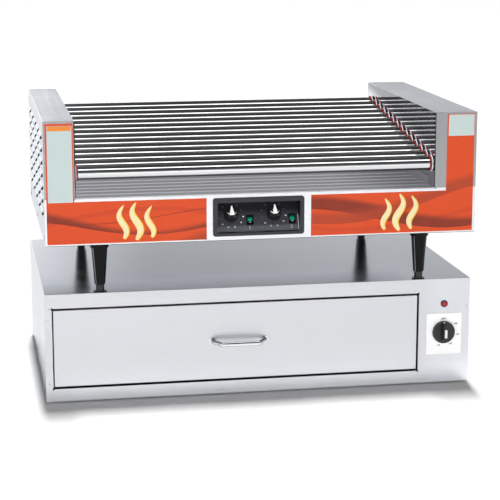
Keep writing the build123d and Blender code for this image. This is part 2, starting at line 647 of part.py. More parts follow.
with BuildPart() as drive_chain:
    for x_band in (spr_x - 2.5, spr_x + 1.7):
        for grow, how in ((2.3, Mode.ADD), (-2.3, Mode.SUBTRACT)):
            runs, mids = belt(grow)
            with BuildSketch(side(x_band)):
                with BuildLine():
                    for k in range(3):
                        Line(runs[k][0], runs[k][1])
                        ThreePointArc(runs[k][1], mids[k], runs[(k + 1) % 3][0])
                make_face()
            extrude(amount=0.8, mode=how)
    # pins of the free spans
    for k in range(n_rollers - 1):
        for off in (-chain_pitch, 0.0, chain_pitch):
            yp, zp = on_bed((k + 0.5) * roller_pitch + off, pr_roller)
            rod_x(spr_x - 2.5, spr_x + 2.5, yp, zp, chain_roller_r)
    runs, mids = belt(0.0)
    for k in (0, 1):
        (ya, za), (yb, zb), _n = runs[k]
        span = math.hypot(yb - ya, zb - za)
        count = int((span - 50) / (2 * chain_pitch))
        for j in range(count + 1):
            f = (25 + j * (span - 50) / count) / span
            rod_x(spr_x - 2.5, spr_x + 2.5, ya + f * (yb - ya), za + f * (zb - za), chain_roller_r)
save(drive_chain.part, "drive_chain")

with BuildPart() as drive_sprocket:
    with BuildSketch(Plane(origin=(spr_x - spr_t / 2, motor_y, motor_z), x_dir=(0, 1, 0), z_dir=(1, 0, 0))):
        Circle(tip_motor)
        with Locations(*tooth_cut(z_motor, pr_motor + 0.35)):
            Circle(chain_roller_r + 0.35, mode=Mode.SUBTRACT)
    extrude(amount=spr_t)
    rod_x(spr_x + spr_t / 2, spr_x + 10, motor_y, motor_z, 8.5)
    rod_x(356.0, spr_x + 12, motor_y, motor_z, 5.0)
save(drive_sprocket.part, "drive_sprocket")

with BuildPart() as gear_motor:
    block(322.0, right_in, motor_y - 42, motor_y + 34, motor_z - 38, motor_z + 38)
    fillet(gear_motor.edges().filter_by(Axis.X), 6)
    rod_x(236.0, 322.0, motor_y, motor_z, 33.0)
    rod_x(226.0, 236.0, motor_y, motor_z, 26.0)
    for k in range(8):
        a = math.radians(45 * k)
        rod_x(250.0, 322.0, motor_y + 33 * math.cos(a), motor_z + 33 * math.sin(a), 3.0)
    rod_x(354.0, right_in + 1, motor_y, motor_z, 5.0 + run_fit, mode=Mode.SUBTRACT)
    block(270.0, 300.0, motor_y - 30, motor_y + 30, z_gb + plate_t, motor_z - 24)
save(gear_motor.part, "gear_motor")

# =====================================================================
#  GRILL: CONTROLS
# =====================================================================
tilt = math.radians(25.0)
panel_o = ((pock_x0 + pock_x1) / 2, y_gf + 3.5, pock_z0)
panel_n = (0, -math.cos(tilt), math.sin(tilt))
panel = Plane(origin=panel_o, x_dir=(1, 0, 0), z_dir=panel_n)
panel_len = (pock_z1 - pock_z0) / math.cos(tilt)
ctl_v = 38.0                                    # knob height along the panel
sw_v = 25.8
ctl_x = [-68.8, 23.3]
sw_x = [-29.4, 61.4]


def panel_at(x, v, n):
    """World point of a place on the inclined panel."""
    return Vector(x, panel_o[1] + v * math.sin(tilt) - n * math.cos(tilt),
                  panel_o[2] + v * math.cos(tilt) + n * math.sin(tilt))


def panel_plane(x, v, n):
    return Plane(origin=panel_at(x, v, n), x_dir=(1, 0, 0), z_dir=panel_n)


pocket_back = y_gf + 3.5 + panel_len * math.sin(tilt) + 2.0
with BuildPart() as control_bezel:
    with BuildSketch(front(y_gf - bez_out)):
        with Locations(((bez_x0 + bez_x1) / 2, (bez_z0 + bez_z1) / 2)):
            RectangleRounded(bez_x1 - bez_x0, bez_z1 - bez_z0, 6.0)
    extrude(amount=-bez_out)
    fillet(control_bezel.faces().sort_by(Axis.Y)[0].edges(), 1.6)
    block(pock_x0 - bw, pock_x1 + bw, y_gf, pocket_back, pock_z0 - bw, pock_z1 + bw)
    with BuildSketch(front(y_gf - bez_out - 1.0)):
        with Locations(((pock_x0 + pock_x1) / 2, (pock_z0 + pock_z1) / 2)):
            RectangleRounded(pock_x1 - pock_x0, pock_z1 - pock_z0, 2.0)
    extrude(amount=-(pocket_back - y_gf + 8), mode=Mode.SUBTRACT)
save(control_bezel.part, "control_bezel")

with BuildPart() as control_plate:
    with BuildSketch(panel):
        with Locations((0, panel_len / 2)):
            Rectangle(pock_x1 - pock_x0 - 0.6, panel_len - 3.6)
        for cx in ctl_x:
            with Locations((cx - panel_o[0], ctl_v)):
                Circle(4.0, mode=Mode.SUBTRACT)
        for sx in sw_x:
            with Locations((sx - panel_o[0], sw_v)):
                Rectangle(12.8, 19.4, mode=Mode.SUBTRACT)
    extrude(amount=-1.5)
save(control_plate.part, "control_plate")

with BuildPart() as heat_controls:
    for cx in ctl_x:
        with BuildSketch(panel_plane(cx, ctl_v, -1.5)):
            RectangleRounded(36, 34, 3)
        extrude(amount=-30)
        with BuildSketch(panel_plane(cx, ctl_v, -1.5)):
            Circle(3.0 + run_fit)
        extrude(amount=-15, mode=Mode.SUBTRACT)
        for dx in (-12, -4, 4, 12):
            with BuildSketch(panel_plane(cx + dx, ctl_v, -31.5)):
                Rectangle(0.8, 6.3)
            extrude(amount=-8)
save(heat_controls.part, "heat_controls")

for k, cx in enumerate(ctl_x):
    with BuildPart() as heat_knob:
        with BuildSketch(panel_plane(cx, ctl_v, 0.6)):
            Circle(15.5)
        extrude(amount=4.5, taper=8)
        with BuildSketch(panel_plane(cx, ctl_v, 5.1)):
            Circle(12.0)
        extrude(amount=7.0, taper=8)
        # pointed finger bar
        with BuildSketch(panel_plane(cx, ctl_v, 5.1)):
            with BuildLine():
                Polyline((-4.8, -11.5), (4.8, -11.5), (4.8, 1.0), (1.2, 16.5), (-1.2, 16.5),
                         (-4.8, 1.0), close=True)
            make_face()
        extrude(amount=13.5, taper=3)
        with BuildSketch(panel_plane(cx, ctl_v, 3.0)):
            Circle(3.0)
        extrude(amount=-18.0)
    save(heat_knob.part, f"heat_knob_{k + 1}")

# ---- lit rocker switches ---------------------------------------------------------------
rk_w, rk_l = 9.6, 15.0
with BuildPart() as switch_housings:
    for sx in sw_x:
        with BuildSketch(panel_plane(sx, sw_v, 0.0)):
            RectangleRounded(15.0, 22.0, 1.2)
        extrude(amount=2.0)
        with BuildSketch(panel_plane(sx, sw_v, 0.0)):
            Rectangle(12.8, 19.4)
        extrude(amount=-18.0)
        with BuildSketch(panel_plane(sx, sw_v, 3.0)):
            Rectangle(rk_w + 0.8, rk_l + 2.8)
        extrude(amount=-15.0, mode=Mode.SUBTRACT)
        o = panel_at(sx, sw_v, -3.0)
        with Locations(Location((o.X, o.Y, o.Z), (0, 90, 0))):
            Cylinder(1.0 + run_fit, 12.2, mode=Mode.SUBTRACT)
        for dv in (-5, 0, 5):
            with BuildSketch(panel_plane(sx, sw_v + dv, -18.0)):
                Rectangle(4.8, 0.8)
            extrude(amount=-7)
save(switch_housings.part, "switch_housings")

rock = math.radians(8.0)
for k, sx in enumerate(sw_x):
    o = panel_at(sx, sw_v, -3.0)
    # at rest the rocker is pressed at its lower end
    n_rest = (0, -math.cos(tilt - rock), math.sin(tilt - rock))
    mid = Plane(origin=(o.X, o.Y, o.Z), x_dir=(0, math.sin(tilt - rock), math.cos(tilt - rock)),
                z_dir=(-1, 0, 0))
    with BuildPart() as rocker:
        with BuildSketch(mid.offset(-rk_w / 2)):
            with BuildLine():
                Polyline((-rk_l / 2, 6.6), (0, 5.4), (rk_l / 2, 6.6), (rk_l / 2 - 0.6, 0.5),
                         (3.0, -4.0), (-3.0, -4.0), (-rk_l / 2 + 0.6, 0.5), close=True)
            make_face()
        extrude(amount=rk_w)
        with Locations(Location((o.X, o.Y, o.Z), (0, 90, 0))):
            Cylinder(1.0, 11.8)
    save(rocker.part, f"rocker_switch_{k + 1}")

# ---- coloured graphic panels bonded to the front --------------------------------------
gz0, gz1 = z_gb + 3.5, z_gb + 91.5
film_l, film_i0, film_m0 = -455.5, -398.5, -123.5     # left film: outer, column and bezel edges
film_r, film_i1, film_m1 = 454.0, 394.0, 99.5         # right film
with BuildPart() as front_graphics:
    with BuildSketch(front(y_gf - 0.3)):
        with BuildLine():
            Polyline((film_l, gz0), (film_m0, gz0), (film_m0, gz1), (film_i0, gz1),
                     (film_i0, z_gb + 254.5), (film_l, z_gb + 254.5), close=True)
        make_face()
        with BuildLine():
            Polyline((film_r, gz0), (film_m1, gz0), (film_m1, gz1), (film_i1, gz1),
                     (film_i1, z_gb + 255.5), (film_r, z_gb + 255.5), close=True)
        make_face()
    extrude(amount=-0.3)
save(front_graphics.part, "front_graphics")

print("axes", [(round(a, 3), round(b, 3)) for a, b in (axes[0], axes[-1])])
print("panel knob", [tuple(round(c, 3) for c in panel_at(cx, ctl_v, 0)) for cx in ctl_x])
print("rocker", [tuple(round(c, 3) for c in panel_at(sx, sw_v, -3.0)) for sx in sw_x])
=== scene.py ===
import bpy
import bmesh
import math
from mathutils import Matrix, Vector


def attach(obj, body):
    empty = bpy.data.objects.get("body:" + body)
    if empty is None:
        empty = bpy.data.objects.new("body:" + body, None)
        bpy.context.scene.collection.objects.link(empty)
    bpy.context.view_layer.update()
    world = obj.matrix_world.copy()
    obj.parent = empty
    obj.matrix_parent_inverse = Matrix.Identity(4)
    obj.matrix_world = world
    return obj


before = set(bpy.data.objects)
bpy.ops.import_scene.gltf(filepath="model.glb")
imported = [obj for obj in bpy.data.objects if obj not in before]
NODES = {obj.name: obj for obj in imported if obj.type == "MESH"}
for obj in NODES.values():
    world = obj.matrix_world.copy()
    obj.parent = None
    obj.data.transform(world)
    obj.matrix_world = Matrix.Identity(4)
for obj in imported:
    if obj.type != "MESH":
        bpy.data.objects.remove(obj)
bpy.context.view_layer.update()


# =====================================================================
#  Node-graph helpers
# =====================================================================
class Tree:
    def __init__(self, tree):
        self.t = tree

    def node(self, kind, **props):
        n = self.t.nodes.new(kind)
        for k, v in props.items():
            setattr(n, k, v)
        return n

    def link(self, a, b):
        self.t.links.new(a, b)

    def put(self, socket, value):
        if isinstance(value, bpy.types.NodeSocket):
            self.link(value, socket)
        else:
            socket.default_value = value

    def math(self, op, a, b=None, c=None, clamp=False):
        n = self.node("ShaderNodeMath", operation=op, use_clamp=clamp)
        self.put(n.inputs[0], a)
        if b is not None:
            self.put(n.inputs[1], b)
        if c is not None:
            self.put(n.inputs[2], c)
        return n.outputs[0]

    def dot(self, v, axis):
        n = self.node("ShaderNodeVectorMath", operation="DOT_PRODUCT")
        self.put(n.inputs[0], v)
        n.inputs[1].default_value = axis
        return n.outputs["Value"]

    def step(self, v, lo, hi, out_lo=0.0, out_hi=1.0, smooth=True):
        n = self.node("ShaderNodeMapRange", clamp=True)
        n.interpolation_type = "SMOOTHSTEP" if smooth else "LINEAR"
        self.put(n.inputs["Value"], v)
        n.inputs["From Min"].default_value = lo
        n.inputs["From Max"].default_value = hi
        n.inputs["To Min"].default_value = out_lo
        n.inputs["To Max"].default_value = out_hi
        return n.outputs["Result"]

    def mix(self, fac, a, b, blend="MIX"):
        n = self.node("ShaderNodeMix", data_type="RGBA", blend_type=blend)
        self.put(n.inputs[0], fac)
        self.put(n.inputs[6], a)
        self.put(n.inputs[7], b)
        return n.outputs[2]

    def mixf(self, fac, a, b):
        n = self.node("ShaderNodeMix", data_type="FLOAT")
        self.put(n.inputs[0], fac)
        self.put(n.inputs[2], a)
        self.put(n.inputs[3], b)
        return n.outputs[0]

    def ramp(self, fac, stops, interp="LINEAR"):
        n = self.node("ShaderNodeValToRGB")
        n.color_ramp.interpolation = interp
        el = n.color_ramp.elements
        while len(el) > 2:
            el.remove(el[-1])
        for i, (p, col) in enumerate(stops):
            e = el[i] if i < 2 else el.new(p)
            e.position = p
            e.color = col if len(col) == 4 else (*col, 1.0)
        self.put(n.inputs[0], fac)
        return n.outputs[0]

    def mapping(self, vec, scale=(1, 1, 1), loc=(0, 0, 0), rot=(0, 0, 0)):
        n = self.node("ShaderNodeMapping")
        self.put(n.inputs["Vector"], vec)
        n.inputs["Scale"].default_value = scale
        n.inputs["Location"].default_value = loc
        n.inputs["Rotation"].default_value = rot
        return n.outputs[0]

    def noise(self, vec, scale=1.0, detail=2.0, rough=0.5, dist=0.0):
        n = self.node("ShaderNodeTexNoise", noise_dimensions="3D")
        self.put(n.inputs["Vector"], vec)
        n.inputs["Scale"].default_value = scale
        n.inputs["Detail"].default_value = detail
        n.inputs["Roughness"].default_value = rough
        n.inputs["Distortion"].default_value = dist
        return n.outputs["Fac"]

    def voronoi(self, vec, scale=1.0, feature="F1"):
        n = self.node("ShaderNodeTexVoronoi", feature=feature)
        self.put(n.inputs["Vector"], vec)
        n.inputs["Scale"].default_value = scale
        return n.outputs["Distance"]

    def bump(self, height, strength, distance, normal=None):
        n = self.node("ShaderNodeBump")
        n.inputs["Strength"].default_value = strength
        n.inputs["Distance"].default_value = distance
        self.put(n.inputs["Height"], height)
        if normal is not None:
            self.put(n.inputs["Normal"], normal)
        return n.outputs[0]

    def bevel(self, radius, samples=4):
        n = self.node("ShaderNodeBevel", samples=samples)
        n.inputs["Radius"].default_value = radius
        return n.outputs[0]

    def coords(self):
        return self.node("ShaderNodeTexCoord").outputs["Object"]

    def xyz(self, vec):
        n = self.node("ShaderNodeSeparateXYZ")
        self.put(n.inputs[0], vec)
        return n.outputs[0], n.outputs[1], n.outputs[2]


def grey(v):
    return (v, v, v, 1.0)


def srgb(r, g, b):
    def f(c):
        c /= 255.0
        return c / 12.92 if c <= 0.04045 else ((c + 0.055) / 1.055) ** 2.4
    return (f(r), f(g), f(b), 1.0)


def scaled(col, k):
    return (min(1.0, col[0] * k), min(1.0, col[1] * k), min(1.0, col[2] * k), 1.0)


def toned(t, base, tone):
    """base colour varied by tone, a signed share of its brightness."""
    k = max(0.04, min(0.5, 1.0 / max(base[:3]) - 1.0))
    f = t.math("ADD", t.math("MULTIPLY", tone, 0.5 / k), 0.5, clamp=True)
    return t.mix(f, scaled(base, 1 - k), scaled(base, 1 + k))


def new_material(name):
    m = bpy.data.materials.new(name)
    m.use_nodes = True
    nt = m.node_tree
    for n in list(nt.nodes):
        nt.nodes.remove(n)
    out = nt.nodes.new("ShaderNodeOutputMaterial")
    bsdf = nt.nodes.new("ShaderNodeBsdfPrincipled")
    nt.links.new(bsdf.outputs[0], out.inputs[0])
    return m, Tree(nt), bsdf


# =====================================================================
#  Metals
# =====================================================================
def brushed_steel(name, base, grain="X", rough=0.24, streak=0.05, blotch=0.04,
                  bump=0.10, side_grain=None, bevel=0.0, seed=0.0, metallic=1.0, side_shade=1.0):
    """Sheet steel with a linear grain. grain is the axis along which the lines run."""
    m, t, b = new_material(name)
    co = t.coords()

    def grained(axis, off):
        along, across = 2.2, 900.0
        s = {"X": (along, across, across), "Y": (across, along, across), "Z": (across, across, along)}[axis]
        fine = t.noise(t.mapping(co, scale=s, loc=(off, off * 1.7, off * 0.6)), 1.0, 3.0, 0.6)
        s2 = tuple(v * 0.16 if v > 50 else v * 0.8 for v in s)
        wide = t.noise(t.mapping(co, scale=s2, loc=(off * 2.1, off, off * 1.3)), 1.0, 2.0, 0.55)
        return fine, wide

    fine, wide = grained(grain, seed + 3.1)
    if side_grain:
        # the faces that look along X carry their own grain direction
        nx = t.xyz(t.node("ShaderNodeNewGeometry").outputs["Normal"])[0]
        on_side = t.math("GREATER_THAN", t.math("ABSOLUTE", nx), 0.7)
        fine2, wide2 = grained(side_grain, seed + 7.7)
        fine = t.mixf(on_side, fine, fine2)
        wide = t.mixf(on_side, wide, wide2)
    cloud = t.noise(co, 5.5, 3.0, 0.55)
    cloud2 = t.noise(t.mapping(co, loc=(4.2, 1.3, 9.1)), 26.0, 3.0, 0.6)
    tone = t.math("ADD",
                  t.math("MULTIPLY", t.math("SUBTRACT", fine, 0.5), streak * 1.4),
                  t.math("MULTIPLY", t.math("SUBTRACT", wide, 0.5), streak * 1.6))
    tone = t.math("ADD", tone, t.math("MULTIPLY", t.math("SUBTRACT", cloud, 0.5), blotch * 2.0))
    tone = t.math("ADD", tone, t.math("MULTIPLY", t.math("SUBTRACT", cloud2, 0.5), blotch * 0.7))
    col = toned(t, base, tone)
    # painted shade: faces that look along X are darkened towards blue-grey
    if side_grain and side_shade != 1.0:
        col = t.mix(t.math("MULTIPLY", on_side, 1.0 - side_shade), col, (0.125, 0.15, 0.20, 1.0))
    t.link(col, b.inputs["Base Color"])
    b.inputs["Metallic"].default_value = metallic
    r = t.math("ADD", t.math("MULTIPLY", t.math("SUBTRACT", cloud, 0.5), 0.10), rough)
    r = t.math("ADD", r, t.math("MULTIPLY", t.math("SUBTRACT", wide, 0.5), 0.10))
    r = t.math("ADD", r, t.math("MULTIPLY", t.math("SUBTRACT", cloud2, 0.5), 0.04))
    t.link(r, b.inputs["Roughness"])
    normal = t.bevel(bevel) if bevel else None
    h = t.math("ADD", t.math("MULTIPLY", fine, 0.6), t.math("MULTIPLY", wide, 0.5))
    n1 = t.bump(h, bump, 0.0006, normal)
    n2 = t.bump(t.noise(co, 3.4, 2.0, 0.5), 0.10, 0.004, n1)
    t.link(n2, b.inputs["Normal"])
    return m


def polished_steel(name, base, ring="X", rough=0.09, bump=0.04, tint=0.05, seed=0.0):
    """Polished tube or wall with fine lines running round it (across the given axis)."""
    m, t, b = new_material(name)
    co = t.coords()
    s = {"X": (1500.0, 9.0, 9.0), "Y": (9.0, 1500.0, 9.0), "Z": (9.0, 9.0, 1500.0)}[ring]
    s2 = tuple(v * 0.05 if v > 50 else v for v in s)
    fine = t.noise(t.mapping(co, scale=s, loc=(seed, seed, seed)), 1.0, 3.0, 0.6)
    wide = t.noise(t.mapping(co, scale=s2, loc=(seed + 2, seed, seed)), 1.0, 3.0, 0.6)
    cloud = t.noise(t.mapping(co, scale=(4, 25, 25), loc=(seed, 3.0, 5.0)), 1.0, 3.0, 0.5)
    tone = t.math("ADD",
                  t.math("MULTIPLY", t.math("SUBTRACT", fine, 0.5), tint),
                  t.math("MULTIPLY", t.math("SUBTRACT", cloud, 0.5), tint * 1.6))
    tone = t.math("ADD", tone, t.math("MULTIPLY", t.math("SUBTRACT", wide, 0.5), tint))
    col = toned(t, base, tone)
    t.link(col, b.inputs["Base Color"])
    b.inputs["Metallic"].default_value = 1.0
    r = t.math("ADD", t.math("MULTIPLY", t.math("SUBTRACT", cloud, 0.5), 0.07), rough)
    r = t.math("ADD", r, t.math("MULTIPLY", t.math("SUBTRACT", wide, 0.5), 0.05))
    t.link(r, b.inputs["Roughness"])
    t.link(t.bump(t.math("ADD", t.math("MULTIPLY", fine, 0.5), wide), bump, 0.0004), b.inputs["Normal"])
    return m


def cast_or_plated(name, base, rough=0.35, grain=900.0, bump=0.15, metallic=1.0, spangle=0.05):
    """Zinc-plated, cast or chain metal: speckled tone with a soft uneven gloss."""
    m, t, b = new_material(name)
    co = t.coords()
    cells = t.voronoi(co, 160.0)
    cloud = t.noise(co, 42.0, 4.0, 0.6)
    fine = t.noise(co, grain, 2.0, 0.5)
    tone = t.math("ADD", t.math("MULTIPLY", t.math("SUBTRACT", cells, 0.4), spangle * 1.6),
                  t.math("MULTIPLY", t.math("SUBTRACT", cloud, 0.5), spangle * 2.0))
    col = toned(t, base, tone)
    t.link(col, b.inputs["Base Color"])
    b.inputs["Metallic"].default_value = metallic
    t.link(t.math("ADD", t.math("MULTIPLY", t.math("SUBTRACT", cloud, 0.5), 0.2), rough), b.inputs["Roughness"])
    t.link(t.bump(fine, bump, 0.0004, t.bevel(0.0004)), b.inputs["Normal"])
    return m


# =====================================================================
#  Plastics, rubber, paint
# =====================================================================
def moulded(name, base, rough=0.35, grain=1400.0, bump=0.08, variation=0.08, coat=0.0, coat_rough=0.1,
            spec=0.5, bevel=0.0005):
    """Moulded plastic or rubber: fine moulding texture, faint flow marks, uneven gloss."""
    m, t, b = new_material(name)
    co = t.coords()
    flow = t.noise(co, 24.0, 3.0, 0.55, 0.4)
    fine = t.noise(co, grain, 2.0, 0.6)
    dust = t.noise(t.mapping(co, loc=(5.0, 2.0, 8.0)), 310.0, 4.0, 0.7)
    tone = t.math("ADD", t.math("MULTIPLY", t.math("SUBTRACT", flow, 0.5), variation * 1.6),
                  t.math("MULTIPLY", t.math("SUBTRACT", dust, 0.5), variation))
    col = toned(t, base, tone)
    t.link(col, b.inputs["Base Color"])
    r = t.math("ADD", t.math("MULTIPLY", t.math("SUBTRACT", flow, 0.5), 0.14), rough)
    r = t.math("ADD", r, t.math("MULTIPLY", t.math("SUBTRACT", dust, 0.5), 0.08))
    t.link(r, b.inputs["Roughness"])
    b.inputs["Specular IOR Level"].default_value = spec
    if coat:
        b.inputs["Coat Weight"].default_value = coat
        b.inputs["Coat Roughness"].default_value = coat_rough
    t.link(t.bump(fine, bump, 0.0003, t.bevel(bevel)), b.inputs["Normal"])
    return m


# ---- colours ---------------------------------------------------------
STEEL = (0.655, 0.685, 0.745, 1.0)
STEEL_WARM = (0.650, 0.655, 0.665, 1.0)

MAT = {}
MAT["cabinet_steel"] = brushed_steel("cabinet_steel", STEEL, "X", rough=0.15, side_grain="Y", bump=0.07,
                                     blotch=0.035, bevel=0.0006, seed=0.0, side_shade=0.62)
MAT["pan_steel"] = brushed_steel("pan_steel", (0.46, 0.47, 0.50, 1.0), "X", rough=0.50, side_grain="Y", bump=0.08,
                                 blotch=0.05, seed=67.0)
MAT["drawer_steel"] = brushed_steel("drawer_steel", (0.69, 0.703, 0.732, 1.0), "X", rough=0.32, side_grain="Z", bump=0.06,
                                    streak=0.025, blotch=0.035, bevel=0.0006, seed=23.0)
MAT["cover_steel"] = brushed_steel("cover_steel", (0.715, 0.738, 0.795, 1.0), "Y", rough=0.30, side_grain="Y", bump=0.06,
                                   streak=0.03, blotch=0.03, bevel=0.0008, seed=31.0, side_shade=0.79, metallic=0.82)
MAT["inner_steel"] = brushed_steel("inner_steel", STEEL_WARM, "X", rough=0.36, side_grain="Y", bump=0.08,
                                   blotch=0.05, seed=41.0)
MAT["deck_steel"] = brushed_steel("deck_steel", (0.52, 0.525, 0.545, 1.0), "X", rough=0.62, side_grain="Y", streak=0.10,
                                  bump=0.10, blotch=0.04, bevel=0.0005, seed=53.0, metallic=0.38)
_deck = next(n for n in MAT["deck_steel"].node_tree.nodes if n.type == "BSDF_PRINCIPLED")
# painted light: the deck glows faintly, standing in for fill light under the tubes
_deck.inputs["Emission Color"].default_value = (0.93, 0.93, 1.0, 1.0)
_dt = Tree(MAT["deck_steel"].node_tree)
_dx = _dt.xyz(_dt.coords())[0]
_dsrc = _deck.inputs["Base Color"].links[0].from_socket
# painted shade: the deck is darkened towards its right end, and its painted glow fades there
_dt.link(_dt.mix(_dt.step(_dx, 0.16, 0.368, 0.0, 0.40), _dsrc, (0.0, 0.0, 0.0, 1.0)), _deck.inputs["Base Color"])
_dt.link(_dt.step(_dx, 0.16, 0.368, 0.185, 0.09), _deck.inputs["Emission Strength"])
MAT["chrome"] = polished_steel("chrome", (0.78, 0.785, 0.80, 1.0), "X", rough=0.06, bump=0.01, tint=0.03, seed=9.0)
MAT["zinc"] = cast_or_plated("zinc", (0.55, 0.56, 0.57, 1.0), rough=0.38)
MAT["chain"] = cast_or_plated("chain", (0.30, 0.30, 0.31, 1.0), rough=0.42)
MAT["cast"] = cast_or_plated("cast", (0.42, 0.43, 0.44, 1.0), rough=0.5, bump=0.3)
MAT["sheath"] = cast_or_plated("sheath", (0.20, 0.17, 0.15, 1.0), rough=0.45, bump=0.1, spangle=0.12)

MAT["black_plastic"] = moulded("black_plastic", srgb(34, 34, 37), rough=0.36)
MAT["gloss_black"] = moulded("gloss_black", srgb(22, 22, 24), rough=0.18, bump=0.03)
MAT["rubber"] = moulded("rubber", srgb(28, 28, 28), rough=0.62, bump=0.25)
MAT["phenolic"] = moulded("phenolic", srgb(70, 44, 30), rough=0.42, bump=0.1)
MAT["dial_white"] = moulded("dial_white", srgb(252, 252, 254), rough=0.38, bump=0.03, variation=0.015)
# painted light: the white dial plate glows faintly
next(n for n in MAT["dial_white"].node_tree.nodes if n.type == "BSDF_PRINCIPLED").inputs["Emission Color"].default_value = (1, 1, 1, 1)
next(n for n in MAT["dial_white"].node_tree.nodes if n.type == "BSDF_PRINCIPLED").inputs["Emission Strength"].default_value = 0.17
MAT["print_black"] = moulded("print_black", srgb(40, 40, 44), rough=0.55, bump=0.02, variation=0.05)
MAT["print_white"] = moulded("print_white", srgb(236, 238, 238), rough=0.45, bump=0.02, variation=0.03)
MAT["print_grey_in_painted_shade"] = moulded("print_grey_in_painted_shade", srgb(120, 122, 128), rough=0.45, bump=0.02, variation=0.05)
MAT["inlay_white_and_highlight"] = moulded("inlay_white_and_highlight", srgb(246, 246, 244), rough=0.30, bump=0.02, variation=0.03)
MAT["label_pale"] = moulded("label_pale", srgb(200, 215, 213), rough=0.34, bump=0.03, variation=0.025, grain=700.0)
MAT["label_amber"] = moulded("label_amber", srgb(240, 140, 44), rough=0.34, bump=0.03, variation=0.05, grain=700.0)
MAT["motif_cream"] = moulded("motif_cream", srgb(248, 232, 178), rough=0.30, bump=0.03, variation=0.05, grain=700.0)
MAT["motif_yellow"] = moulded("motif_yellow", srgb(250, 205, 50), rough=0.30, bump=0.03, variation=0.05, grain=700.0)


def control_paint():
    """Charcoal painted panel, a fine leather-like paint texture."""
    m, t, b = new_material("control_paint")
    co = t.coords()
    peel = t.noise(co, 620.0, 3.0, 0.55)
    cloud = t.noise(co, 18.0, 3.0, 0.5)
    # painted light and shade: the plate is lightest along its foot, a painted reflection, and darkest under its upper
    # edge, painted shade under the bezel
    v, _ = panel_vn(t, co)
    foot = t.mix(t.math("ADD", t.math("MULTIPLY", cloud, 0.7), t.math("MULTIPLY", peel, 0.3)),
                 srgb(80, 82, 90), srgb(106, 108, 116))
    middle = t.mix(peel, srgb(50, 51, 57), srgb(64, 65, 72))
    head = t.mix(peel, srgb(24, 24, 28), srgb(34, 34, 39))
    col = t.mix(t.step(v, 0.009, 0.017), foot, middle)
    col = t.mix(t.step(v, 0.038, 0.050), col, head)
    t.link(col, b.inputs["Base Color"])
    t.link(t.math("ADD", t.math("MULTIPLY", cloud, 0.16), 0.34), b.inputs["Roughness"])
    t.link(t.bump(peel, 0.22, 0.0004), b.inputs["Normal"])
    return m


def bezel_plastic():
    """Charcoal frame whose recessed inner walls are painted near black as shade."""
    m, t, b = new_material("bezel_plastic")
    co = t.coords()
    _, y, _ = t.xyz(co)
    flow = t.noise(co, 30.0, 3.0, 0.55)
    fine = t.noise(co, 1300.0, 2.0, 0.6)
    face = t.mix(flow, srgb(34, 35, 40), srgb(46, 47, 53))
    # painted shade: the walls inside the recess are near black
    painted_well_shade = t.mix(flow, srgb(9, 9, 10), srgb(17, 17, 19))
    t.link(t.mix(t.step(y, -0.3040, -0.3015), face, painted_well_shade), b.inputs["Base Color"])
    t.link(t.math("ADD", t.math("MULTIPLY", flow, 0.14), 0.30), b.inputs["Roughness"])
    t.link(t.bump(fine, 0.06, 0.0003, t.bevel(0.0005)), b.inputs["Normal"])
    return m


def seal_rubber():
    """Two-colour seal: a white rim at the wall and a red lip towards the middle of the tube."""
    m, t, b = new_material("seal_rubber")
    co = t.coords()
    x = t.xyz(co)[0]
    lip = t.math("MULTIPLY", t.math("GREATER_THAN", x, -0.3925), t.math("LESS_THAN", x, 0.3643))
    flow = t.noise(co, 90.0, 3.0, 0.55)
    fine = t.noise(co, 1400.0, 2.0, 0.6)
    red = t.mix(flow, srgb(122, 26, 32), srgb(150, 40, 44))
    white = t.mix(flow, srgb(214, 216, 222), srgb(234, 236, 240))
    t.link(t.mix(lip, white, red), b.inputs["Base Color"])
    t.link(t.math("ADD", t.math("MULTIPLY", flow, 0.14), 0.34), b.inputs["Roughness"])
    t.link(t.bump(fine, 0.10, 0.0003), b.inputs["Normal"])
    return m


def leg_plastic():
    """Black moulded leg with a fine pale line painted down its front and back as a highlight."""
    m, t, b = new_material("leg_plastic")
    co = t.coords()
    x, _, z = t.xyz(co)
    flow = t.noise(co, 24.0, 3.0, 0.55, 0.4)
    fine = t.noise(co, 1400.0, 2.0, 0.6)
    right = t.math("GREATER_THAN", x, 0.0)
    lx = t.math("SUBTRACT", x, t.mixf(right, -0.345, 0.350))
    at = t.math("ADD", t.math("MULTIPLY", t.math("SUBTRACT", z, 0.255), 0.0722), 0.0085)
    # painted highlight: a pale line down the leg
    painted_highlight_line = t.math("LESS_THAN", t.math("ABSOLUTE", t.math("ADD", lx, at)), 0.0007)
    black = t.mix(flow, srgb(12, 12, 14), srgb(21, 21, 24))
    t.link(t.mix(painted_highlight_line, black, srgb(120, 122, 130)), b.inputs["Base Color"])
    b.inputs["Specular IOR Level"].default_value = 0.12
    t.link(t.math("ADD", t.math("MULTIPLY", flow, 0.14), 0.10), b.inputs["Roughness"])
    t.link(t.bump(fine, 0.03, 0.0003, t.bevel(0.0005)), b.inputs["Normal"])
    return m


def frame_steel():
    """Cabinet front frame: steel in front, its folded returns behind painted black as shade in the gaps, its right end
    lightened with painted light.
    """
    m = brushed_steel("frame_steel", (0.675, 0.687, 0.714, 1.0), "X", rough=0.30, side_grain="Y", bump=0.10,
                      blotch=0.03, bevel=0.0006, seed=11.0)
    t = Tree(m.node_tree)
    b = next(n for n in m.node_tree.nodes if n.type == "BSDF_PRINCIPLED")
    sock = b.inputs["Base Color"]
    src = sock.links[0].from_socket
    x, y, _ = t.xyz(t.coords())
    # painted light: the frame is lightened towards its right end
    src = t.mix(t.step(x, 0.352, 0.40, 0.0, 0.22), src, (0.86, 0.89, 0.96, 1.0))
    # painted shade: everything behind the front face is painted black and non-metallic
    painted_gap_shade = t.math("GREATER_THAN", y, -0.2698)
    t.link(t.mix(painted_gap_shade, src, srgb(16, 16, 18)), sock)
    t.link(t.math("SUBTRACT", 1.0, painted_gap_shade), b.inputs["Metallic"])
    return m


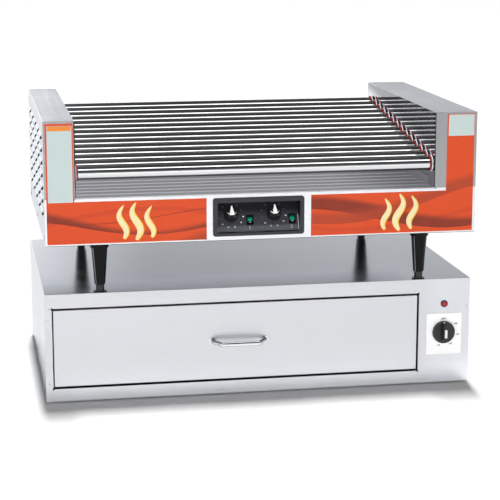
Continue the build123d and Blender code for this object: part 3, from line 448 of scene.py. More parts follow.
def panel_steel():
    """Grill front sheet: brushed along X; its bare upper columns are darkened towards mid grey as a painted dark
    reflection.
    """
    m = brushed_steel("panel_steel", (0.80, 0.808, 0.826, 1.0), "X", rough=0.30, side_grain="Y", bump=0.10,
                      blotch=0.03, bevel=0.0006, seed=17.0)
    t = Tree(m.node_tree)
    b = next(n for n in m.node_tree.nodes if n.type == "BSDF_PRINCIPLED")
    sock = b.inputs["Base Color"]
    src = sock.links[0].from_socket
    x, _, z = t.xyz(t.coords())
    # painted reflection: the sheet above the tray is darkened
    up = t.math("GREATER_THAN", z, 0.4452)
    t.link(t.mix(up, src, t.mix(0.54, src, (0.0, 0.0, 0.0, 1.0))), sock)
    return m


def graphic_film():
    """Bonded vinyl film: an orange ground with broad darker ribbons sweeping along it."""
    m, t, b = new_material("graphic_film")
    co = t.coords()
    x, _, z = t.xyz(co)

    def wave(freq, phase, amp, base, slope=0.0):
        s = t.math("SINE", t.math("ADD", t.math("MULTIPLY", x, freq), phase))
        v = t.math("ADD", t.math("MULTIPLY", s, amp), base)
        return t.math("ADD", v, t.math("MULTIPLY", x, slope))

    def ribbon(centre, half, soft_low, soft_high):
        """1 inside the ribbon; each edge has its own softness."""
        d = t.math("SUBTRACT", z, centre)
        up = t.step(t.math("ADD", d, half), 0.0, soft_low)
        dn = t.step(t.math("SUBTRACT", half, d), 0.0, soft_high)
        return t.math("MULTIPLY", up, dn)

    w1 = ribbon(wave(9.6, 0.7, 0.026, 0.398), t.math("ADD", t.math("MULTIPLY",
                t.math("SINE", t.math("MULTIPLY", x, 7.0)), 0.006), 0.013), 0.0012, 0.016)
    w2 = ribbon(wave(7.1, 3.3, 0.030, 0.388), 0.0075, 0.010, 0.0012)
    w3 = ribbon(wave(12.5, 1.9, 0.016, 0.376, 0.16), 0.017, 0.0012, 0.020)
    w5 = ribbon(wave(8.2, 1.6, 0.022, 0.402, -0.03), 0.0012, 0.0008, 0.0008)
    grain = t.noise(co, 850.0, 2.0, 0.6)
    cloud = t.noise(co, 7.0, 2.0, 0.5)
    ground = t.mix(t.math("ADD", t.math("MULTIPLY", cloud, 0.85), t.math("MULTIPLY", grain, 0.15)),
                   srgb(220, 76, 36), srgb(228, 88, 44))
    dark = t.mix(cloud, srgb(122, 50, 38), srgb(150, 60, 42))
    deep = t.mix(cloud, srgb(172, 66, 42), srgb(188, 76, 50))
    mid = t.mix(cloud, srgb(204, 70, 42), srgb(216, 80, 48))
    col = t.mix(t.math("MULTIPLY", w2, 0.85), ground, mid)
    col = t.mix(t.math("MULTIPLY", w5, 0.75), col, dark)
    col = t.mix(t.math("MULTIPLY", w1, 0.94), col, dark)
    col = t.mix(t.math("MULTIPLY", w3, 0.90), col, deep)
    t.link(col, b.inputs["Base Color"])
    b.inputs["Specular IOR Level"].default_value = 0.22
    t.link(t.math("ADD", t.math("MULTIPLY", cloud, 0.12), 0.32), b.inputs["Roughness"])
    t.link(t.bump(grain, 0.04, 0.0003), b.inputs["Normal"])
    return m


# place and direction of the inclined control plate
TILT = math.radians(25.0)
PANEL_O = Vector((0.0, -0.299, 0.3625))
PANEL_V = Vector((0.0, math.sin(TILT), math.cos(TILT)))
PANEL_N = Vector((0.0, -math.cos(TILT), math.sin(TILT)))


def panel_vn(t, co):
    """Height up the control plate and distance in front of it, in metres, at a shaded point."""
    v = t.math("SUBTRACT", t.dot(co, tuple(PANEL_V)), PANEL_O.dot(PANEL_V))
    n = t.math("SUBTRACT", t.dot(co, tuple(PANEL_N)), PANEL_O.dot(PANEL_N))
    return v, n


def heat_knob_plastic():
    """Black knob whose raised pointer is a white moulded insert."""
    m, t, b = new_material("heat_knob_plastic")
    co = t.coords()
    v, n = panel_vn(t, co)
    insert_and_glow = t.math("MULTIPLY", t.math("GREATER_THAN", n, 0.0128), t.math("GREATER_THAN", v, 0.038 - 0.0045))
    flow = t.noise(co, 60.0, 3.0, 0.55)
    fine = t.noise(co, 1500.0, 2.0, 0.6)
    black = t.mix(flow, srgb(22, 22, 24), srgb(38, 38, 41))
    white = t.mix(flow, srgb(238, 238, 236), srgb(252, 252, 250))
    t.link(t.mix(insert_and_glow, black, white), b.inputs["Base Color"])
    # painted light: the white insert glows faintly
    t.link(t.mix(insert_and_glow, grey(0.0), grey(1.0)), b.inputs["Emission Color"])
    b.inputs["Emission Strength"].default_value = 0.30
    t.link(t.math("ADD", t.math("MULTIPLY", flow, 0.14), 0.24), b.inputs["Roughness"])
    t.link(t.bump(fine, 0.05, 0.0003, t.bevel(0.0005)), b.inputs["Normal"])
    return m


def rocker_plastic():
    """Rocker with a lit green lens over its upper two thirds and its lower end painted black as shade."""
    m, t, b = new_material("rocker_plastic")
    co = t.coords()
    v, n = panel_vn(t, co)
    lens = t.math("GREATER_THAN", v, 0.0236)
    ribs = t.math("SINE", t.math("MULTIPLY", v, 2400.0))
    flow = t.noise(co, 240.0, 3.0, 0.55)
    glow = t.mix(flow, srgb(0, 128, 98), srgb(24, 172, 136))
    black = t.mix(flow, srgb(20, 20, 22), srgb(34, 34, 36))
    # painted shade: below the lens the rocker is black
    t.link(t.mix(lens, black, glow), b.inputs["Base Color"])
    t.link(t.mix(lens, grey(0.0), srgb(0, 120, 92)), b.inputs["Emission Color"])
    b.inputs["Emission Strength"].default_value = 0.35
    t.link(t.math("ADD", t.math("MULTIPLY", flow, 0.12), 0.18), b.inputs["Roughness"])
    t.link(t.bump(t.math("MULTIPLY", ribs, lens), 0.10, 0.0003, t.bevel(0.0004)), b.inputs["Normal"])
    return m


def lamp_lens():
    """Pilot lamp: a dark rim and a deep red moulded lens with concentric ribs."""
    m, t, b = new_material("lamp_lens")
    co = t.coords()
    x, y, z = t.xyz(co)
    dx = t.math("SUBTRACT", x, 0.4065)
    dz = t.math("SUBTRACT", z, 0.1812)
    r = t.math("SQRT", t.math("ADD", t.math("MULTIPLY", dx, dx), t.math("MULTIPLY", dz, dz)))
    lens = t.math("LESS_THAN", r, 0.0062)
    ribs = t.math("SINE", t.math("MULTIPLY", r, 5200.0))
    flow = t.noise(co, 300.0, 3.0, 0.55)
    red = t.mix(flow, srgb(128, 24, 30), srgb(186, 52, 54))
    rim = t.mix(flow, srgb(60, 22, 26), srgb(84, 34, 38))
    t.link(t.mix(lens, rim, red), b.inputs["Base Color"])
    t.link(t.mix(lens, grey(0.0), srgb(120, 20, 24)), b.inputs["Emission Color"])
    b.inputs["Emission Strength"].default_value = 0.15
    t.link(t.math("ADD", t.math("MULTIPLY", flow, 0.15), 0.15), b.inputs["Roughness"])
    t.link(t.bump(t.math("MULTIPLY", ribs, lens), 0.35, 0.0004), b.inputs["Normal"])
    return m


def wall_metal():
    """Polished inner wall, darkened with painted shade above the line of the tubes."""
    m = polished_steel("wall_steel", (0.70, 0.708, 0.745, 1.0), "Z", rough=0.065, bump=0.015, seed=5.0)
    t = Tree(m.node_tree)
    b = next(n for n in m.node_tree.nodes if n.type == "BSDF_PRINCIPLED")
    sock = b.inputs["Base Color"]
    src = sock.links[0].from_socket
    _, y, z = t.xyz(t.coords())
    line = t.math("ADD", t.math("MULTIPLY", y, 0.1278), 0.5309)
    painted_shade_above = t.step(t.math("SUBTRACT", z, line), 0.012, 0.042, 0.0, 0.74)
    t.link(t.mix(painted_shade_above, src, (0.0, 0.0, 0.0, 1.0)), sock)
    return m


def roller_metal():
    """Polished tube; the side turned to the floor is darkened with painted shade."""
    m = polished_steel("roller_steel", (0.72, 0.725, 0.735, 1.0), "X", rough=0.065, bump=0.035, seed=1.0)
    t = Tree(m.node_tree)
    b = next(n for n in m.node_tree.nodes if n.type == "BSDF_PRINCIPLED")
    sock = b.inputs["Base Color"]
    src = sock.links[0].from_socket
    nz = t.xyz(t.node("ShaderNodeNewGeometry").outputs["Normal"])[2]
    painted_underside_shade = t.step(nz, -0.78, -0.52, 0.86, 0.0)
    t.link(t.mix(painted_underside_shade, src, (0.0, 0.0, 0.0, 1.0)), sock)
    return m


MAT["roller_steel"] = roller_metal()
MAT["wall_steel"] = wall_metal()
MAT["control_paint"] = control_paint()
MAT["bezel_plastic"] = bezel_plastic()
MAT["seal_rubber"] = seal_rubber()
MAT["panel_steel"] = panel_steel()
MAT["leg_plastic"] = leg_plastic()
MAT["frame_steel"] = frame_steel()
MAT["graphic_film"] = graphic_film()
MAT["heat_knob_plastic"] = heat_knob_plastic()
MAT["rocker_plastic"] = rocker_plastic()
MAT["lamp_lens"] = lamp_lens()

# ---- which material each CAD node wears ---------------------------------
WEARS = {
    "cabinet_shell": "cabinet_steel",
    "cabinet_front_frame": "frame_steel",
    "cabinet_rear_panel": "cabinet_steel",
    "cabinet_base": "inner_steel",
    "control_bay_wall": "inner_steel",
    "cabinet_feet": "rubber",
    "drawer_outer_rails": "zinc",
    "drawer_middle_rails": "zinc",
    "drawer_inner_rails": "zinc",
    "drawer_box": "inner_steel",
    "drawer_front": "drawer_steel",
    "drawer_handle": "chrome",
    "warming_element": "sheath",
    "thermostat_body": "phenolic",
    "thermostat_dial_plate": "dial_white",
    "thermostat_knob": "black_plastic",
    "pilot_lamp": "lamp_lens",
    "power_inlets": "black_plastic",
    "grill_legs": "leg_plastic",
    "leg_feet": "gloss_black",
    "grill_base_pan": "pan_steel",
    "grill_front_panel": "panel_steel",
    "grill_rear_panel": "cabinet_steel",
    "left_bearing_plate": "wall_steel",
    "right_bearing_plate": "wall_steel",
    "left_end_cover": "cover_steel",
    "right_end_cover": "cover_steel",
    "cover_screws": "chrome",
    "drip_tray": "deck_steel",
    "tray_rails": "zinc",
    "roller_bushings": "black_plastic",
    "roller_seals": "seal_rubber",
    "heater_rods": "sheath",
    "heater_rod_clamps": "phenolic",
    "drive_chain": "chain",
    "drive_sprocket": "chain",
    "gear_motor": "cast",
    "control_bezel": "bezel_plastic",
    "control_plate": "control_paint",
    "heat_controls": "phenolic",
    "heat_knob_1": "heat_knob_plastic",
    "heat_knob_2": "heat_knob_plastic",
    "switch_housings": "gloss_black",
    "rocker_switch_1": "rocker_plastic",
    "rocker_switch_2": "rocker_plastic",
    "front_graphics": "graphic_film",
}
for _i in range(14):
    WEARS["roller_%02d" % (_i + 1)] = "roller_steel"

for _name, _obj in NODES.items():
    _mat = MAT[WEARS[_name]]
    if not _obj.material_slots:
        _obj.data.materials.append(_mat)
    for _s in _obj.material_slots:
        _s.material = _mat


# =====================================================================
#  Added pieces
# =====================================================================
def add_mesh(name, bm, mat, body, matrix=None, smooth=None):
    me = bpy.data.meshes.new(name)
    bmesh.ops.recalc_face_normals(bm, faces=bm.faces)
    bm.to_mesh(me)
    bm.free()
    o = bpy.data.objects.new(name, me)
    bpy.context.scene.collection.objects.link(o)
    if matrix is not None:
        o.matrix_world = matrix
    me.materials.append(mat)
    if smooth is not None:
        for p in me.polygons:
            p.use_smooth = True
        if smooth > 0:
            me.set_sharp_from_angle(angle=math.radians(smooth))
    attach(o, body)
    return o


def facing(origin, x_axis, up, out):
    """Frame with local x, y and z (outwards) along the given directions."""
    m = Matrix.Identity(4)
    for i in range(3):
        m[i][0], m[i][1], m[i][2], m[i][3] = x_axis[i], up[i], out[i], origin[i]
    return m


FRONT_X, FRONT_UP, FRONT_OUT = Vector((1, 0, 0)), Vector((0, 0, 1)), Vector((0, -1, 0))


def front_at(x, y, z):
    return facing(Vector((x, y, z)), FRONT_X, FRONT_UP, FRONT_OUT)


def panel_frame(x, v, n):
    o = Vector((x, PANEL_O.y, PANEL_O.z)) + PANEL_V * v + PANEL_N * n
    return facing(o, Vector((1, 0, 0)), PANEL_V, PANEL_N)


def outline_plate(points, thick, edge=0.0):
    """Closed plate from an outline in local x, y, its back on z = 0, with a small rounded front edge."""
    bm = bmesh.new()
    n = len(points)
    rings = [(0.0, 0.0)]
    if edge > 0:
        for k in range(4):
            a = math.pi / 2 * k / 3
            rings.append((edge * (1 - math.cos(a)), thick - edge + edge * math.sin(a)))
    else:
        rings.append((0.0, thick))
    # inward direction at each corner of the outline
    inward = []
    area = sum(points[i][0] * points[(i + 1) % n][1] - points[(i + 1) % n][0] * points[i][1] for i in range(n))
    sgn = 1 if area > 0 else -1
    for i in range(n):
        p0, p1, p2 = Vector(points[i - 1]), Vector(points[i]), Vector(points[(i + 1) % n])
        d1, d2 = (p1 - p0), (p2 - p1)
        d1 = d1.normalized() if d1.length > 1e-9 else d2.normalized()
        d2 = d2.normalized() if d2.length > 1e-9 else d1
        nrm = Vector((-(d1 + d2).y, (d1 + d2).x)) * sgn
        inward.append(nrm.normalized() if nrm.length > 1e-9 else Vector((0, 0)))
    layers = []
    for off, z in rings:
        layers.append([bm.verts.new((points[i][0] + inward[i].x * off, points[i][1] + inward[i].y * off, z))
                       for i in range(n)])
    for a, b in zip(layers, layers[1:]):
        for i in range(n):
            j = (i + 1) % n
            bm.faces.new((a[i], a[j], b[j], b[i]))
    bm.faces.new(layers[-1])
    bm.faces.new(list(reversed(layers[0])))
    return bm


def rounded_rect(w, h, r, seg=6):
    pts = []
    for cx, cy, a0 in ((w / 2 - r, h / 2 - r, 0), (-w / 2 + r, h / 2 - r, 90),
                       (-w / 2 + r, -h / 2 + r, 180), (w / 2 - r, -h / 2 + r, 270)):
        for k in range(seg + 1):
            a = math.radians(a0 + 90.0 * k / seg)
            pts.append((cx + r * math.cos(a), cy + r * math.sin(a)))
    return pts


def circle(r, seg=40, rx=None):
    return [((rx or r) * math.cos(2 * math.pi * k / seg), r * math.sin(2 * math.pi * k / seg)) for k in range(seg)]


def lathe(profile, seg=48):
    """Closed solid of revolution about local z from (r, z) pairs, first and last on the axis or closed by a disc."""
    bm = bmesh.new()
    rings = []
    for r, z in profile:
        if r < 1e-9:
            rings.append([bm.verts.new((0, 0, z))])
        else:
            rings.append([bm.verts.new((r * math.cos(2 * math.pi * k / seg), r * math.sin(2 * math.pi * k / seg), z))
                          for k in range(seg)])
    for a, b in zip(rings, rings[1:]):
        for k in range(seg):
            j = (k + 1) % seg
            if len(a) == 1 and len(b) == 1:
                continue
            if len(a) == 1:
                bm.faces.new((a[0], b[k], b[j]))
            elif len(b) == 1:
                bm.faces.new((a[k], a[j], b[0]))
            else:
                bm.faces.new((a[k], a[j], b[j], b[k]))
    if len(rings[0]) > 1:
        bm.faces.new(list(reversed(rings[0])))
    if len(rings[-1]) > 1:
        bm.faces.new(rings[-1])
    return bm


def text_piece(name, body_text, height, thick, matrix, mat, body, bold=0.0):
    cu = bpy.data.curves.new(name + "_curve", "FONT")
    cu.body = body_text
    cu.size = height / 0.70
    cu.align_x = "CENTER"
    cu.align_y = "CENTER"
    cu.extrude = thick / 2
    cu.offset = bold
    cu.resolution_u = 4
    tmp = bpy.data.objects.new(name + "_tmp", cu)
    bpy.context.scene.collection.objects.link(tmp)
    bpy.context.view_layer.update()
    dg = bpy.context.evaluated_depsgraph_get()
    me = bpy.data.meshes.new_from_object(tmp.evaluated_get(dg))
    bpy.data.objects.remove(tmp)
    bpy.data.curves.remove(cu)
    bm = bmesh.new()
    bm.from_mesh(me)
    bmesh.ops.remove_doubles(bm, verts=bm.verts, dist=1e-6)
    bmesh.ops.translate(bm, verts=bm.verts, vec=(0, 0, thick / 2))
    bpy.data.meshes.remove(me)
    return add_mesh(name, bm, mat, body, matrix)


# ---- pale panels and their coloured header on the front film ------------
Y_FILM = -0.3028
LABEL_T = 0.00025


def label(name, x0, x1, z0, z1, mat, lift=0.0, r=0.0015):
    return add_mesh(name, outline_plate(rounded_rect(x1 - x0, z1 - z0, r), LABEL_T, 0.0001), mat, "frame",
                    front_at((x0 + x1) / 2, Y_FILM - lift, (z0 + z1) / 2))


label("left_pale_panel", -0.4521, -0.4010, 0.4380, 0.5972, MAT["label_pale"])
label("left_header_bar", -0.4508, -0.4023, 0.5866, 0.5963, MAT["label_amber"], lift=LABEL_T, r=0.001)
label("right_pale_panel", 0.3969, 0.4531, 0.5559, 0.6012, MAT["label_pale"])


# ---- generic curls of steam on the front film ------------------------------
def curl(name, x, z, h, width, sway, mat, lift, phase=0.0, turns=1.0):
    """A flat tapered S-shaped stroke standing upright."""
    left, right = [], []
    n = 36
    for k in range(n + 1):
        u = k / n
        a = 2 * math.pi * turns * u + phase
        cx = sway * math.sin(a)
        dx = sway * 2 * math.pi * turns * math.cos(a) / h
        ln = math.hypot(1.0, dx)
        wdt = width * (math.sin(math.pi * min(1.0, 0.04 + 0.96 * u)) ** 0.6) * (1.0 - 0.35 * u) / 2 + 0.0002
        nx, nz = 1 / ln, -dx / ln
        left.append((cx - nx * wdt, u * h - nz * wdt))
        right.append((cx + nx * wdt, u * h + nz * wdt))
    pts = right + list(reversed(left))
    return add_mesh(name, outline_plate(pts, LABEL_T, 0.00008), mat, "frame",
                    front_at(x, Y_FILM - lift, z))


for _k, (_x, _z, _h, _w, _s, _p) in enumerate((
        (-0.300, 0.3590, 0.070, 0.0130, 0.0075, 0.3),
        (-0.272, 0.3560, 0.078, 0.0150, 0.0085, 0.0),
        (-0.243, 0.3600, 0.066, 0.0120, 0.0070, 0.5),
        (0.262, 0.3590, 0.066, 0.0120, 0.0070, 3.5),
        (0.291, 0.3560, 0.078, 0.0150, 0.0085, 3.1),
        (0.320, 0.3590, 0.070, 0.0130, 0.0075, 3.4))):
    curl("steam_curl_back_%d" % (_k + 1), _x + 0.0012, _z - 0.0010, _h + 0.002, _w + 0.0036, _s, MAT["motif_yellow"], 0.0, _p)
    curl("steam_curl_%d" % (_k + 1), _x, _z, _h, _w, _s, MAT["motif_cream"], LABEL_T, _p)


# ---- heat knobs: gloss cap with a bright crescent each side of the pointer ------
def arc_points(cy, r, x0, x1, n=14):
    return [(x0 + (x1 - x0) * k / n, cy - math.sqrt(r * r - (x0 + (x1 - x0) * k / n) ** 2)) for k in range(n + 1)]


for _k, _x in enumerate((-0.0688, 0.0233)):
    add_mesh("knob_cap_%d" % (_k + 1),
             lathe([(0.0, 0.0), (0.0104, 0.0), (0.0106, 0.0001), (0.0106, 0.0004), (0.0103, 0.0006),
                    (0.0098, 0.0005), (0.0094, 0.0003), (0.0, 0.00032)], 64),
             MAT["gloss_black"], "heat_knob_%d" % (_k + 1),
             panel_frame(_x, 0.038, 0.0121), smooth=35)
    for _s in (-1, 1):
        _out = arc_points(0.00757, 0.01087, _s * 0.0046, _s * 0.0101)
        _in = arc_points(0.01440, 0.01470, _s * 0.0101, _s * 0.0046)
        add_mesh("knob_crescent_%d_%s" % (_k + 1, "l" if _s < 0 else "r"),
                 outline_plate(_out + _in[1:], 0.0003, 0.0001), MAT["inlay_white_and_highlight"], "heat_knob_%d" % (_k + 1),
                 panel_frame(_x, 0.038, 0.0124))

# ---- printed scale round each heat knob -------------------------------------
for _k, _x in enumerate((-0.0693, 0.0216)):
    for _j, _a in enumerate((-43.5, -14.6, 16.0, 52.0, 81.0)):
        _r = 0.0268
        _px = _x + _r * math.sin(math.radians(_a))
        _v = 0.038 - _r * math.cos(math.radians(_a))
        add_mesh("scale_dot_%d_%d" % (_k + 1, _j + 1), outline_plate(circle(0.0013, 24, 0.0020), 0.0002, 0.00006),
                 MAT["print_white"], "frame", panel_frame(_px, _v, 0.0))
    # painted shade: the dots in the bezel's shadow are printed grey
    for _j, _a in enumerate((-76.0, -108.0, -140.0, 112.0, 145.0)):
        _r = 0.0252
        _px = _x + _r * math.sin(math.radians(_a))
        _v = 0.038 - _r * math.cos(math.radians(_a))
        add_mesh("scale_tick_%d_%d" % (_k + 1, _j + 1), outline_plate(circle(0.0010, 24, 0.0014), 0.0002, 0.00006),
                 MAT["print_grey_in_painted_shade"], "frame", panel_frame(_px, _v, 0.0))

# numerals under the two switches
for _k, _x in enumerate((-0.0304, 0.0594)):
    text_piece("switch_numeral_%d" % (_k + 1), str(_k + 1), 0.0070, 0.0002,
               panel_frame(_x, 0.0090, 0.0), MAT["print_white"], "frame")

# ---- painted highlight: white strips at both sides of the control plate stand for its bent edges catching light ---
for _k, (_x, _s) in enumerate(((-0.0993, 1), (0.0743, -1))):
    add_mesh("plate_edge_highlight_%d" % (_k + 1), outline_plate(rounded_rect(0.0012, 0.034, 0.0004, 3), 0.0012, 0.0003),
             MAT["inlay_white_and_highlight"], "frame", panel_frame(_x, 0.0185, 0.0))

# ---- small mark on each rocker ---------------------------------------------
ROCK = math.radians(8.0)
for _k, _x in enumerate((-0.0294, 0.0614)):
    _o = Vector((_x, PANEL_O.y, PANEL_O.z)) + PANEL_V * 0.0258 + PANEL_N * (-0.003)
    _vv = Vector((0.0, math.sin(TILT - ROCK), math.cos(TILT - ROCK)))
    _nn = Vector((0.0, -math.cos(TILT - ROCK), math.sin(TILT - ROCK)))
    # the lower half of the rocker's face slopes from 5.4 at its middle to 6.6 at its end
    _sl = math.atan2(1.2, 7.5)
    _up = (_vv * math.cos(_sl) - _nn * math.sin(_sl))
    _out = (_nn * math.cos(_sl) + _vv * math.sin(_sl))
    _c = _o + _nn * (0.0054 + 0.0012 * 0.60) - _vv * (0.0075 * 0.60)
    add_mesh("rocker_mark_%d" % (_k + 1), outline_plate(rounded_rect(0.0042, 0.0011, 0.0004, 3), 0.0002, 0.00006),
             MAT["print_white"], "rocker_%d" % (_k + 1),
             facing(_c, Vector((1, 0, 0)), _up, _out))

# ---- thermostat knob: inlay and index dot -----------------------------------
KX, KZ = 0.4055, 0.1178
add_mesh("knob_inlay", outline_plate(rounded_rect(0.0056, 0.0185, 0.0009, 5), 0.00035, 0.00015), MAT["inlay_white_and_highlight"],
         "thermostat_knob", front_at(KX, -0.29385, KZ))
add_mesh("knob_index", outline_plate(rounded_rect(0.0024, 0.0036, 0.0005, 4), 0.00025, 0.0001), MAT["print_white"],
         "thermostat_knob", front_at(KX, -0.27885, KZ + 0.0221))

# skirt ribs of the thermostat knob
for _k in range(36):
    _a = 2 * math.pi * (_k + 0.5) / 36
    _out = Vector((math.cos(_a), 0.0, math.sin(_a)))
    _o = Vector((KX, -0.2749, KZ)) + _out * 0.0241
    _t = Vector((0, 1, 0))
    add_mesh("skirt_rib_%02d" % (_k + 1), outline_plate(rounded_rect(0.0052, 0.0013, 0.0005, 3), 0.0008, 0.0003),
             MAT["black_plastic"], "thermostat_knob",
             facing(_o, _t, _out.cross(_t), _out))

# ---- dial plate: printed scale ------------------------------------------------
for _k, (_word, _ang, _r) in enumerate((("OFF", 0.0, 0.0292), ("100", 57.8, 0.0324), ("125", 102.5, 0.0334),
                                        ("150", 149.4, 0.0324), ("175", 198.6, 0.0324))):
    _a = math.radians(_ang)
    text_piece("dial_word_%d" % (_k + 1), _word, 0.0042, 0.0002,
               front_at(KX + _r * math.sin(_a), -0.2713, KZ + _r * math.cos(_a)), MAT["print_black"], "frame",
               bold=0.00013)
for _k in range(30):
    _a = math.radians(45.0 + 8.0 * _k)
    if math.degrees(_a) > 262:
        break
    _r = 0.0264
    _m = front_at(KX + _r * math.sin(_a), -0.2713, KZ + _r * math.cos(_a)) @ Matrix.Rotation(-_a, 4, "Z")
    add_mesh("dial_tick_%02d" % (_k + 1), outline_plate(rounded_rect(0.0005, 0.0020, 0.0002, 2), 0.0002, 0.00006),
             MAT["print_black"], "frame", _m)


# ---- painted shade: black strips between the front columns and the inner walls stand for the dark gap there ---
def upright(name, x0, x1, y, z0, z1, t_out, r=0.0002):
    return add_mesh(name, outline_plate(rounded_rect(x1 - x0, z1 - z0, r, 3), t_out, r), MAT["rubber"],
                    "frame", front_at((x0 + x1) / 2, y, (z0 + z1) / 2))


upright("left_column_shade_strip", -0.3968, -0.3943, -0.2996, 0.4632, 0.6052, 0.0020)
upright("right_column_shade_strip", 0.3684, 0.3694, -0.3000, 0.4632, 0.6052, 0.0018)
# narrower beside the path of the drip tray
upright("left_column_shade_strip_low", -0.3968, -0.3953, -0.2996, 0.4462, 0.4632, 0.0020)
upright("right_column_shade_strip_low", 0.3691, 0.3695, -0.3000, 0.4462, 0.4632, 0.0018, 0.0001)

# ---- painted shade: thin black strips on the frame along the drawer opening darken the gap ---
for _name, _x0, _x1, _z0, _z1 in (("drawer_gap_shade_top", -0.4487, 0.3493, 0.2060, 0.2067),
                                  ("drawer_gap_shade_right", 0.3485, 0.3493, 0.0313, 0.2060)):
    add_mesh(_name, outline_plate(rounded_rect(_x1 - _x0, _z1 - _z0, 0.0002, 2), 0.0002, 0.0001), MAT["rubber"],
             "frame", front_at((_x0 + _x1) / 2, -0.2705, (_z0 + _z1) / 2))

# ---- collar at the head of each leg --------------------------------------------------
for _k, (_x, _y) in enumerate(((-0.345, -0.2565), (0.350, -0.2565), (-0.345, 0.2575), (0.350, 0.2575))):
    add_mesh("leg_collar_%d" % (_k + 1),
             lathe([(0.0, 0.0), (0.0188, 0.0), (0.0196, 0.0006), (0.0198, 0.0012), (0.0198, 0.0132), (0.0194, 0.0136),
                    (0.0, 0.0136)], 64),
             MAT["leg_plastic"], "frame", Matrix.Translation((_x, _y, 0.347 - 0.0137)), smooth=35)

# ---- painted shade: a black strip down the rear edge of each end cover stands for the dark gap there ---
for _side, _out in (("left", -1), ("right", 1)):
    _box = [NODES[_side + "_end_cover"].matrix_world @ Vector(c) for c in NODES[_side + "_end_cover"].bound_box]
    _yr = max(c.y for c in _box)
    _n = Vector((_out, 0, 0))
    add_mesh(_side + "_cover_rear_shade_strip", outline_plate(rounded_rect(0.0011, 0.236, 0.0004, 3), 0.0003, 0.0001),
             MAT["gloss_black"], "frame",
             facing(Vector((_out * 0.4595, _yr - 0.0022, 0.472)), Vector((0, 0, 1)).cross(_n), Vector((0, 0, 1)), _n))

# ---- painted shade: black caps fill the front ends of the louvres, where their open mouths lie in shade ---
def louvre_mouth_shades(name, side):
    bm = bmesh.new()
    for k in range(5):
        y0 = -0.3025 + 0.047 + 0.107 * k
        for j in range(7):
            zc = 0.347 + 0.0623 + 0.0266 * j
            sec = [(0.0, 0.0046), (0.0027, 0.0009), (0.0042, -0.0042), (0.0, -0.0042)]
            rings = [[bm.verts.new((side * (0.4595 + a), y, zc + h)) for a, h in sec] for y in (y0 - 0.00015, y0 + 0.0005)]
            n = len(sec)
            for i in range(n):
                i2 = (i + 1) % n
                bm.faces.new((rings[0][i], rings[0][i2], rings[1][i2], rings[1][i]))
            bm.faces.new(rings[0])
            bm.faces.new(list(reversed(rings[1])))
    add_mesh(name, bm, MAT["rubber"], "frame")


louvre_mouth_shades("left_louvre_mouths", -1)
louvre_mouth_shades("right_louvre_mouths", 1)

# ---- painted shade: a black line along the foot of the grill's front band stands for the shadow under it ---
add_mesh("front_foot_shade_line", outline_plate(rounded_rect(0.9186, 0.0008, 0.0003, 3), 0.0002, 0.0001),
         MAT["rubber"], "frame", front_at(0.0, -0.3025, 0.3474))

# ---- small spot-weld marks on the cabinet front -------------------------------
for _k, (_x, _z) in enumerate(((-0.4549, 0.2060), (-0.4560, 0.0423), (0.4570, 0.1750))):
    add_mesh("spot_mark_%d" % (_k + 1),
             lathe([(0.0, 0.0), (0.0019, 0.0), (0.0019, 0.00004), (0.0016, 0.00016), (0.0012, 0.00010),
                    (0.0, 0.00008)], 32),
             MAT["zinc"], "frame", front_at(_x, -0.2705, _z), smooth=30)


# =====================================================================
#  Floor, light, camera
# =====================================================================
def floor():
    me = bpy.data.meshes.new("floor")
    s = 60.0
    me.from_pydata([(-s, -s, 0), (s, -s, 0), (s, s, 0), (-s, s, 0)], [], [(0, 1, 2, 3)])
    o = bpy.data.objects.new("floor", me)
    bpy.context.scene.collection.objects.link(o)
    m, t, b = new_material("floor_paper")
    co = t.coords()
    tone = t.noise(co, 3.0, 2.0, 0.5)
    paper = t.mix(tone, (0.93, 0.93, 0.93, 1), (0.95, 0.95, 0.95, 1))
    b.inputs["Roughness"].default_value = 0.9
    b.inputs["Specular IOR Level"].default_value = 0.1
    # the sweep stays evenly white away from the object
    x, y, _ = t.xyz(co)
    r = t.math("SQRT", t.math("ADD", t.math("MULTIPLY", x, x), t.math("MULTIPLY", y, y)))
    b.inputs["Emission Color"].default_value = (1, 1, 1, 1)
    t.link(paper, b.inputs["Base Color"])
    t.link(t.step(r, 0.9, 4.0, 0.0, 0.12), b.inputs["Emission Strength"])
    me.materials.append(m)
    return o


floor()


def area(name, loc, target, size, power, glossy=False, diffuse=True, colour=(1, 1, 1)):
    li = bpy.data.lights.new(name, "AREA")
    li.shape = "RECTANGLE"
    li.size, li.size_y = size
    li.energy = power
    li.color = colour
    o = bpy.data.objects.new(name, li)
    bpy.context.scene.collection.objects.link(o)
    o.location = loc
    out = (Vector(loc) - Vector(target)).normalized()
    wide = (Vector((1, 0, 0)) - out * out.x).normalized()
    o.rotation_euler = Matrix((wide, out.cross(wide), out)).transposed().to_euler()
    o.visible_glossy = glossy
    o.visible_diffuse = diffuse
    o.visible_camera = False
    return o


# overhead key, a little to the right and behind
area("key", (0.486, 3.99, 40.0), (0, 0, 0.0), (1.4, 6.4), 14600.0)
# broad softbox above the front, seen only in the bright metal
area("softbox", (0.2, -1.50, 2.95), (0, -0.15, 0.5), (4.4, 0.80), 29.0, glossy=True, diffuse=False)
# white card lying on the floor before the cabinet, seen only in the bright metal
area("floor_card", (0.15, -0.345, 0.003), (0.15, -0.345, 1.0), (1.4, 0.14), 0.23, glossy=True, diffuse=False)
# low frontal fill
area("front_fill", (-0.5, -3.7, 0.95), (0, -0.2, 0.35), (2.4, 0.8), 43.0)

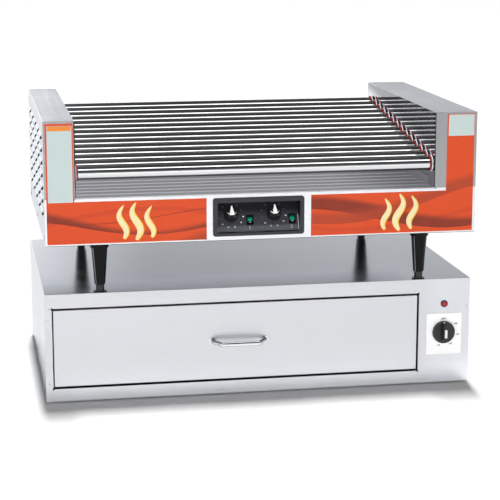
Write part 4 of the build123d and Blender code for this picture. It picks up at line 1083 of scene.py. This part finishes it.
world = bpy.data.worlds.new("studio")
bpy.context.scene.world = world
world.use_nodes = True
_wt = world.node_tree
for _n in list(_wt.nodes):
    _wt.nodes.remove(_n)
W = Tree(_wt)
_out = W.node("ShaderNodeOutputWorld")
_bg = W.node("ShaderNodeBackground")
W.link(_bg.outputs[0], _out.inputs[0])
_dir = W.node("ShaderNodeTexCoord").outputs["Generated"]
_dx, _dy, _dz = W.xyz(_dir)
# brightness by elevation, in front of the object and behind it
_front = W.ramp(_dz, [(0.0, grey(0.30)), (0.06, grey(0.22)), (0.14, grey(0.10)), (0.34, grey(0.03)), (1.0, grey(0.03))])
_back = W.ramp(_dz, [(0.0, grey(0.50)), (0.10, grey(0.44)), (0.16, grey(0.34)), (0.205, grey(0.27)), (0.235, grey(0.17)),
                     (0.30, grey(0.10)), (0.42, grey(0.04)), (1.0, grey(0.03))])
_fac = W.step(_dy, -0.25, 0.25)
_mixed = W.mix(_fac, _front, _back)
# the left side of the studio is a little brighter than the right
_side = W.math("ADD", W.step(_dx, 0.02, 0.12, 1.15, 0.0), W.step(_dx, 0.08, 0.30, 1.0, 1.22))
_val = W.math("MULTIPLY", W.math("MULTIPLY", _mixed, _side), 2.0)
_tint = W.mix(1.0, (0.975, 0.985, 1.0, 1.0), _val, "MULTIPLY")
W.link(_tint, _bg.inputs["Color"])
_bg.inputs["Strength"].default_value = 1.0

cam_data = bpy.data.cameras.new("camera")
cam_data.lens = 118.54
cam_data.sensor_width = 36.0
cam_data.sensor_fit = "HORIZONTAL"
cam_data.clip_end = 100.0
cam = bpy.data.objects.new("camera", cam_data)
bpy.context.scene.collection.objects.link(cam)
cam.location = (-0.6329, -3.6421, 1.0507)
cam.rotation_euler = Vector((0.17329, 0.96238, -0.20927)).to_track_quat("-Z", "Y").to_euler()
bpy.context.scene.camera = cam

bpy.context.scene.view_settings.view_transform = "Standard"
bpy.context.scene.view_settings.look = "None"
bpy.context.scene.view_settings.exposure = 0.0
bpy.context.scene.view_settings.gamma = 1.0
